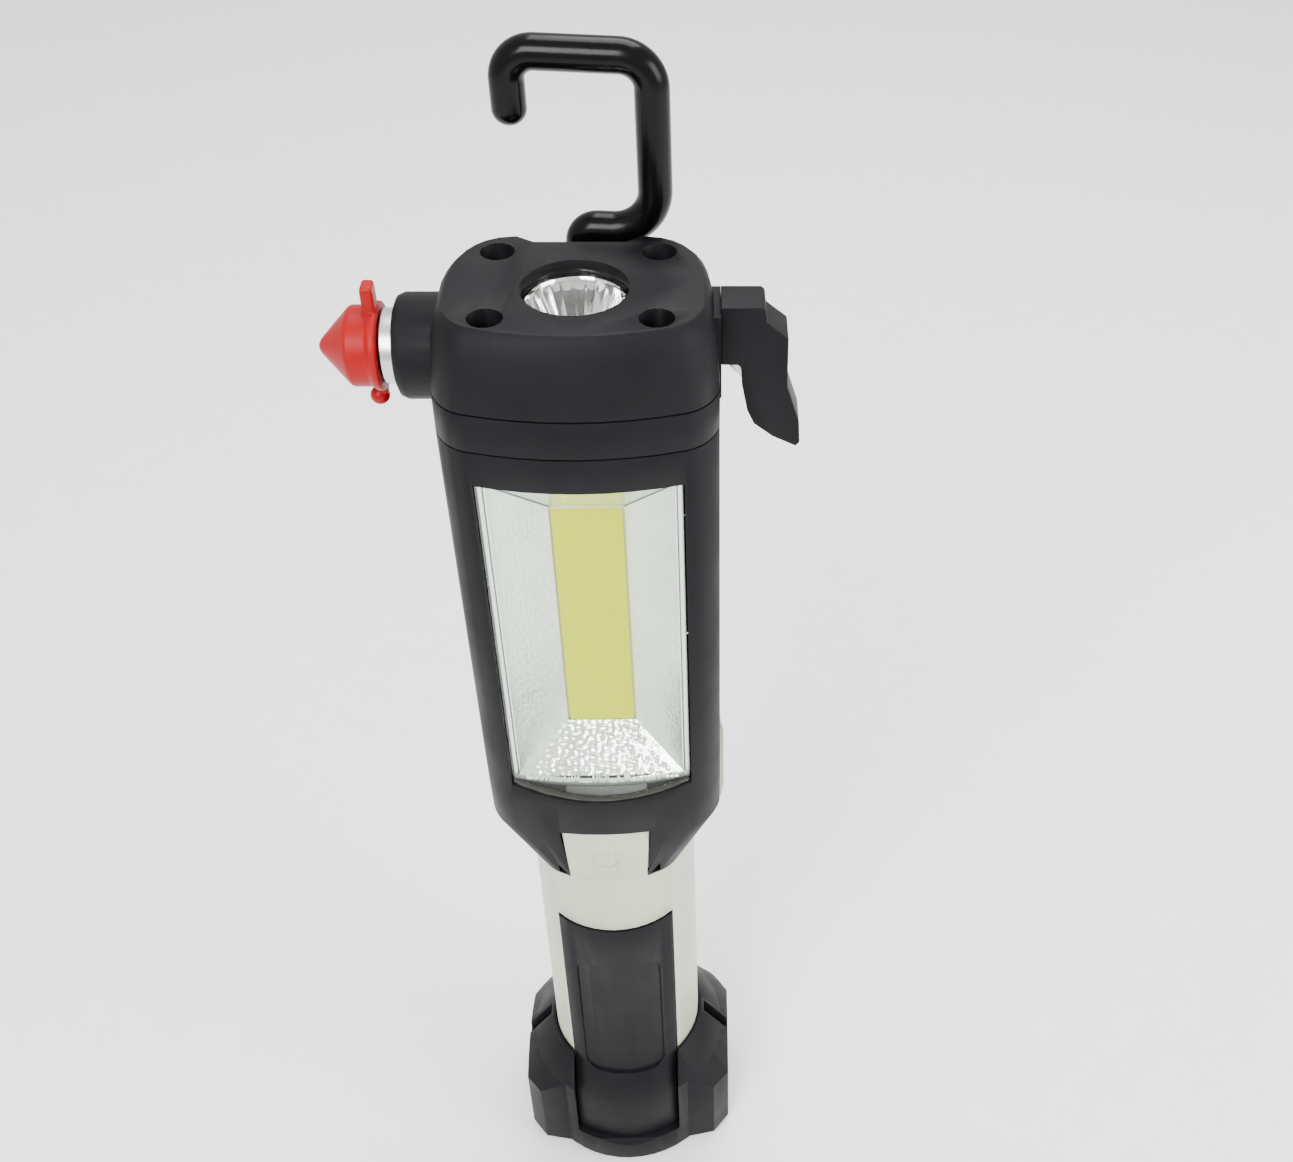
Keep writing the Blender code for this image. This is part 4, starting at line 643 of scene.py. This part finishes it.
def pill(low, high, power, rows=90, columns=140):
    """A closed block with round edges: a sphere's points, each coordinate raised
    to 2 / power, fill the box between two corners (a superellipsoid)."""
    polar = np.linspace(0, np.pi, rows)[:, None]
    around = (np.arange(columns) * 2 * np.pi / columns)[None, :]
    ball = np.stack([np.sin(polar) * np.cos(around), np.sin(polar) * np.sin(around),
                     np.cos(polar) + 0 * around], axis=-1)
    ball = np.sign(ball) * np.abs(ball) ** (2 / power)
    low, high = np.asarray(low, float), np.asarray(high, float)
    return (low + high) / 2 + ball * (high - low) / 2


tab = pill((rim_x - 2.4 * MM, -1.9 * MM, side_z + HOOD_R - 1.2 * MM),
           (rim_x - 0.2 * MM, 1.9 * MM, hood_high.z), 7.0)
lug = pill((rim_x - 2.3 * MM, -1.2 * MM, side_z - 9.6 * MM),
           (rim_x - 0.4 * MM, 1.2 * MM, side_z - HOOD_R + 1.0 * MM), 5.0)
BEAD_R, bead_x = 1.75 * MM, rim_x - 2.1 * MM
bead = pill((bead_x - BEAD_R, -BEAD_R, hood_low.z),
            (bead_x + BEAD_R, BEAD_R, hood_low.z + 2 * BEAD_R), 2.0)
forms, quads, count = [], [], 0
for form in (hood, tab, lug, bead):
    forms.append(form.reshape(-1, 3))
    quads.append(grid_faces(*form.shape[:2], wrap=True) + count)
    count += len(forms[-1])
red_hood = piece_from("red_hood", np.concatenate(forms), np.concatenate(quads), red)
skin = red_hood.modifiers.new("one_skin", "REMESH")
skin.mode, skin.voxel_size, skin.use_smooth_shade = "VOXEL", 0.16 * MM, True
relax = red_hood.modifiers.new("round_over", "SMOOTH")
relax.factor, relax.iterations = 0.5, 6
settle(red_hood, "hammer_cap")
print("red hood: joined from", len(forms), "forms")

# %% [markdown]
# ## Points, pins and screws
#
# The breaker is a turned steel point on a collar. Screws are turned too, and their
# cross slot is pressed into the head: on the head's polar grid, every point that
# lies inside the cross drops to the slot's floor.

# %% The steel point
POINT_R, COLLAR_R, STUD_R, CONE = 3.9 * MM, 6.6 * MM, 3.0 * MM, 5.6 * MM
collar_out, collar_in = rim_x + 0.3 * MM, point_low.x + 15.7 * MM
point_profile = [(0, point_low.x), (POINT_R, point_low.x + CONE), (POINT_R, collar_out),
                 (COLLAR_R, collar_out), (COLLAR_R, collar_in), (STUD_R, collar_in),
                 (STUD_R, point_high.x), (0, point_high.x)]
point = turned("steel_point", point_profile, (0, 0, side_z), steel, radius=0.3 * MM, axis="X")
settle(point, "hammer_tip")


# %% Screws with a cross slot
SCREW_STEPS, HEAD_ROWS = 96, 22
ARM_WIDE, ARM_LONG, CROSS_DEEP, CROWNED = 0.13, 0.62, 0.42, 0.35      # shares of the head
TIP_CHAMFER = 0.3 * MM


def cross_screw(name, node, axis, facing, head_height, head_r, shank_r):
    """A pan head whose crown is z = h (1 - 0.35 r^2) with a cross pressed in, and
    a plain shank below. The axis is the screw's, facing is +1 or -1 along it."""
    low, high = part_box(node)
    number = "XYZ".index(axis)
    length = high[number] - low[number]
    seat = length - head_height
    r = np.concatenate([np.linspace(0, 1, HEAD_ROWS), [1.0]])[:, None]
    a = (np.arange(SCREW_STEPS) * 2 * np.pi / SCREW_STEPS)[None, :]
    x, y = r * np.cos(a), r * np.sin(a)
    in_cross = (((np.abs(x) < ARM_WIDE) & (np.abs(y) < ARM_LONG))
                | ((np.abs(y) < ARM_WIDE) & (np.abs(x) < ARM_LONG)))
    crown = length - head_height * (CROWNED * r ** 2 + np.where(in_cross, CROSS_DEEP, 0.0))
    crown[-1] = seat
    head = np.stack([x * head_r, y * head_r, crown + 0 * a], axis=-1)
    shank = turned_points(np.array([(shank_r, seat), (shank_r, TIP_CHAMFER),
                                    (shank_r - TIP_CHAMFER, 0), (0, 0)]), SCREW_STEPS)
    points = np.concatenate([head, shank])
    if facing < 0:
        points[..., 2] = length - points[..., 2]
    centre = (low + high) / 2
    centre[number] = low[number]
    faces = grid_faces(len(points), SCREW_STEPS, wrap=True)
    settle(piece_from(name, set_up(points, centre, axis), faces, dark_metal), node)


# Height and radius of the head, radius of the shank.
CASE_SCREW = (2.0 * MM, 2.7 * MM, 1.4 * MM)
PLATE_SCREW = (1.2 * MM, 2.1 * MM, 1.1 * MM)
FOOT_SCREW = (1.3 * MM, 1.9 * MM, 1.1 * MM)
for i in range(1, 5):
    cross_screw(f"top_screw_{i}", f"cap_screw_{i}", "Z", 1, *CASE_SCREW)
    cross_screw(f"casing_screw_{i}", f"shell_screw_{i}", "Y", 1, *CASE_SCREW)
for i in range(1, 3):
    cross_screw(f"plate_screw_{i}", f"bracket_screw_{i}", "Y", 1, *PLATE_SCREW)
    cross_screw(f"foot_screw_{i}", f"base_screw_{i}", "Z", -1, *FOOT_SCREW)
for node, name in (("hook_pin", "fold_pin"), ("cutter_pin", "blade_pin"),
                   ("cutter_blade", "belt_blade"), ("base_magnet", "magnet_disc"),
                   ("hook_washer", "stem_washer"), ("hammer_nut", "point_nut"),
                   ("base_plug", "handle_plug"), ("battery_carrier", "battery_tray")):
    eased(node, name, 0.12 * MM)
print("screws and pins done")

# %% [markdown]
# ## Batteries
#
# Three cells sit in the tray. Each is a steel can with a printed wrap that stops
# short of the ends, so the wrap and the can are told apart by height in the
# profile: the wrap is a thin sleeve, and the can shows as bare metal at both ends.

# %% Cells
BUTTON_R, BUTTON_HEIGHT = 2.75 * MM, 1.0 * MM
GROOVE_IN, GROOVE_OUT, GROOVE_DEEP = 4.2 * MM, 4.6 * MM, 0.4 * MM      # round the button
FILM, WRAP_FOOT, WRAP_SHORT = 0.12 * MM, 1.2 * MM, 0.9 * MM


def cell(number):
    """A can turned from its profile, plus a wrap: a thin sleeve round it between
    two heights, whose inside lies within the can's skin."""
    low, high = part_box(f"cell_{number}")
    centre = ((low.x + high.x) / 2, (low.y + high.y) / 2, low.z)
    r, tall = (high.x - low.x) / 2, high.z - low.z
    shoulder = tall - BUTTON_HEIGHT
    groove, wrap_top, wrap_in = shoulder - GROOVE_DEEP, shoulder - WRAP_SHORT, r - 0.3 * MM
    can = turned(f"cell_can_{number}",
                 [(0, 0), (r - FILM, 0), (r - FILM, shoulder), (GROOVE_OUT, shoulder),
                  (GROOVE_IN, groove), (BUTTON_R, groove), (BUTTON_R, tall), (0, tall)],
                 centre, steel, radius=0.5 * MM)
    wrap = turned(f"cell_wrap_{number}",
                  [(wrap_in, WRAP_FOOT), (r, WRAP_FOOT), (r, wrap_top), (wrap_in, wrap_top)],
                  centre, cell_wrap, radius=0.1 * MM)
    settle(can, f"cell_{number}")
    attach(wrap, BODY_OF[f"cell_{number}"])


for number in (1, 2, 3):
    cell(number)
print("cells done")

# %% [markdown]
# ## The power mark
#
# The button carries the usual ring and bar, raised a hair above its face. A thin
# rod, swept and half sunk, gives the stroke a soft round section.

# %% Ring and bar on the button
button_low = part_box("power_button")[0]
mark_z = button_low.z + 7.6 * MM
MARK_R, STROKE, OPEN = 2.7 * MM, 0.34 * MM, 38      # ring, rod, half the ring's opening in degrees
FALL, FALL_AT = 0.35 * MM, 6 * MM


def on_button(x, z):
    """Points on the crowned face, which falls back 0.35 mm at 6 mm from its middle."""
    return np.stack([x, button_low.y + FALL * (np.abs(x) / FALL_AT) ** 1.2, z], axis=-1)


swing = np.linspace(math.radians(90 + OPEN), math.radians(450 - OPEN), 60)
ring_route = on_button(MARK_R * np.cos(swing), mark_z + MARK_R * np.sin(swing))
bar_route = on_button(np.full(12, 1e-7), np.linspace(mark_z + 0.2 * MM, mark_z + 1.15 * MARK_R, 12))
for name, mark in (("mark_ring", ring_route), ("mark_bar", bar_route)):
    girth = np.full(len(mark), STROKE)
    girth[[0, -1]] = 0.02 * MM
    stroke = swept(name, mark, girth, (0, 1, 0), cream, sides=16)
    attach(stroke, "power_button")
print("power mark at", round(mark_z / MM, 1), "mm")

# %% [markdown]
# ## Stage
#
# A plain pale floor, a white sky, three soft lamps, and a camera that looks down on
# the standing light from above and in front.

# %% Floor
floor_mesh = bpy.data.meshes.new("studio_floor")
REACH, CLEAR_OF_FOOT = 6.0, 0.2 * MM
floor_mesh.from_pydata([(-REACH, -REACH, 0), (REACH, -REACH, 0), (REACH, REACH, 0),
                        (-REACH, REACH, 0)], [], [(0, 1, 2, 3)])
floor = bpy.data.objects.new("studio_floor", floor_mesh)
floor.location.z = -CLEAR_OF_FOOT
bpy.context.scene.collection.objects.link(floor)
floor_mesh.materials.append(grained("floor_paper", (0.86, 0.86, 0.86), (0.88, 0.88, 0.88),
                                    (0.8, 0.9), grain=400, bump=0.01))

# %% Light
world = bpy.data.worlds.new("studio")
bpy.context.scene.world = world
world.use_nodes = True
sky = world.node_tree.nodes["Background"].inputs
sky["Color"].default_value, sky["Strength"].default_value = (1.0, 1.0, 1.0, 1), 1.25


def soft_box(name, place, aim, size, power):
    """A square area lamp at a place, aimed at a point."""
    lamp = bpy.data.lights.new(name, "AREA")
    lamp.size, lamp.energy = size, power
    thing = bpy.data.objects.new(name, lamp)
    bpy.context.scene.collection.objects.link(thing)
    thing.location = place
    thing.rotation_euler = (Vector(aim) - Vector(place)).to_track_quat("-Z", "Y").to_euler()


middle = (0, 0, 0.15)
soft_box("key_box", (-0.35, -0.75, 0.85), middle, 0.5, 16.0)
soft_box("side_box", (0.8, -0.35, 0.5), middle, 0.5, 9.0)
soft_box("top_box", (0.1, 0.35, 1.0), middle, 0.6, 12.0)

# %% Camera
# Pitch down, yaw and roll in degrees; the focal length and the width in one unit.
PITCH, YAW, ROLL = (math.radians(a) for a in (41.175, 3.547, -1.759))
FOCAL, WIDTH, SENSOR = 1550.1, 1293.0, 36.0
EYE = Vector((22.64, -235.47, 380.70)) * MM
look = Vector((math.sin(YAW) * math.cos(PITCH), math.cos(YAW) * math.cos(PITCH), -math.sin(PITCH)))
level = Vector((math.cos(YAW), -math.sin(YAW), 0))
down = look.cross(level)
right = math.cos(ROLL) * level + math.sin(ROLL) * down
under = -math.sin(ROLL) * level + math.cos(ROLL) * down
camera = bpy.data.objects.new("camera", bpy.data.cameras.new("camera"))
bpy.context.scene.collection.objects.link(camera)
turn = Matrix((right, -under, -look)).transposed().to_4x4()
camera.matrix_world = Matrix.Translation(EYE) @ turn
camera.data.sensor_width = SENSOR
camera.data.lens = SENSOR * FOCAL / WIDTH
camera.data.shift_x, camera.data.shift_y = -0.10565, 0.0149
camera.data.clip_start = 0.01
bpy.context.scene.camera = camera
print("lens", round(camera.data.lens, 2), "mm")
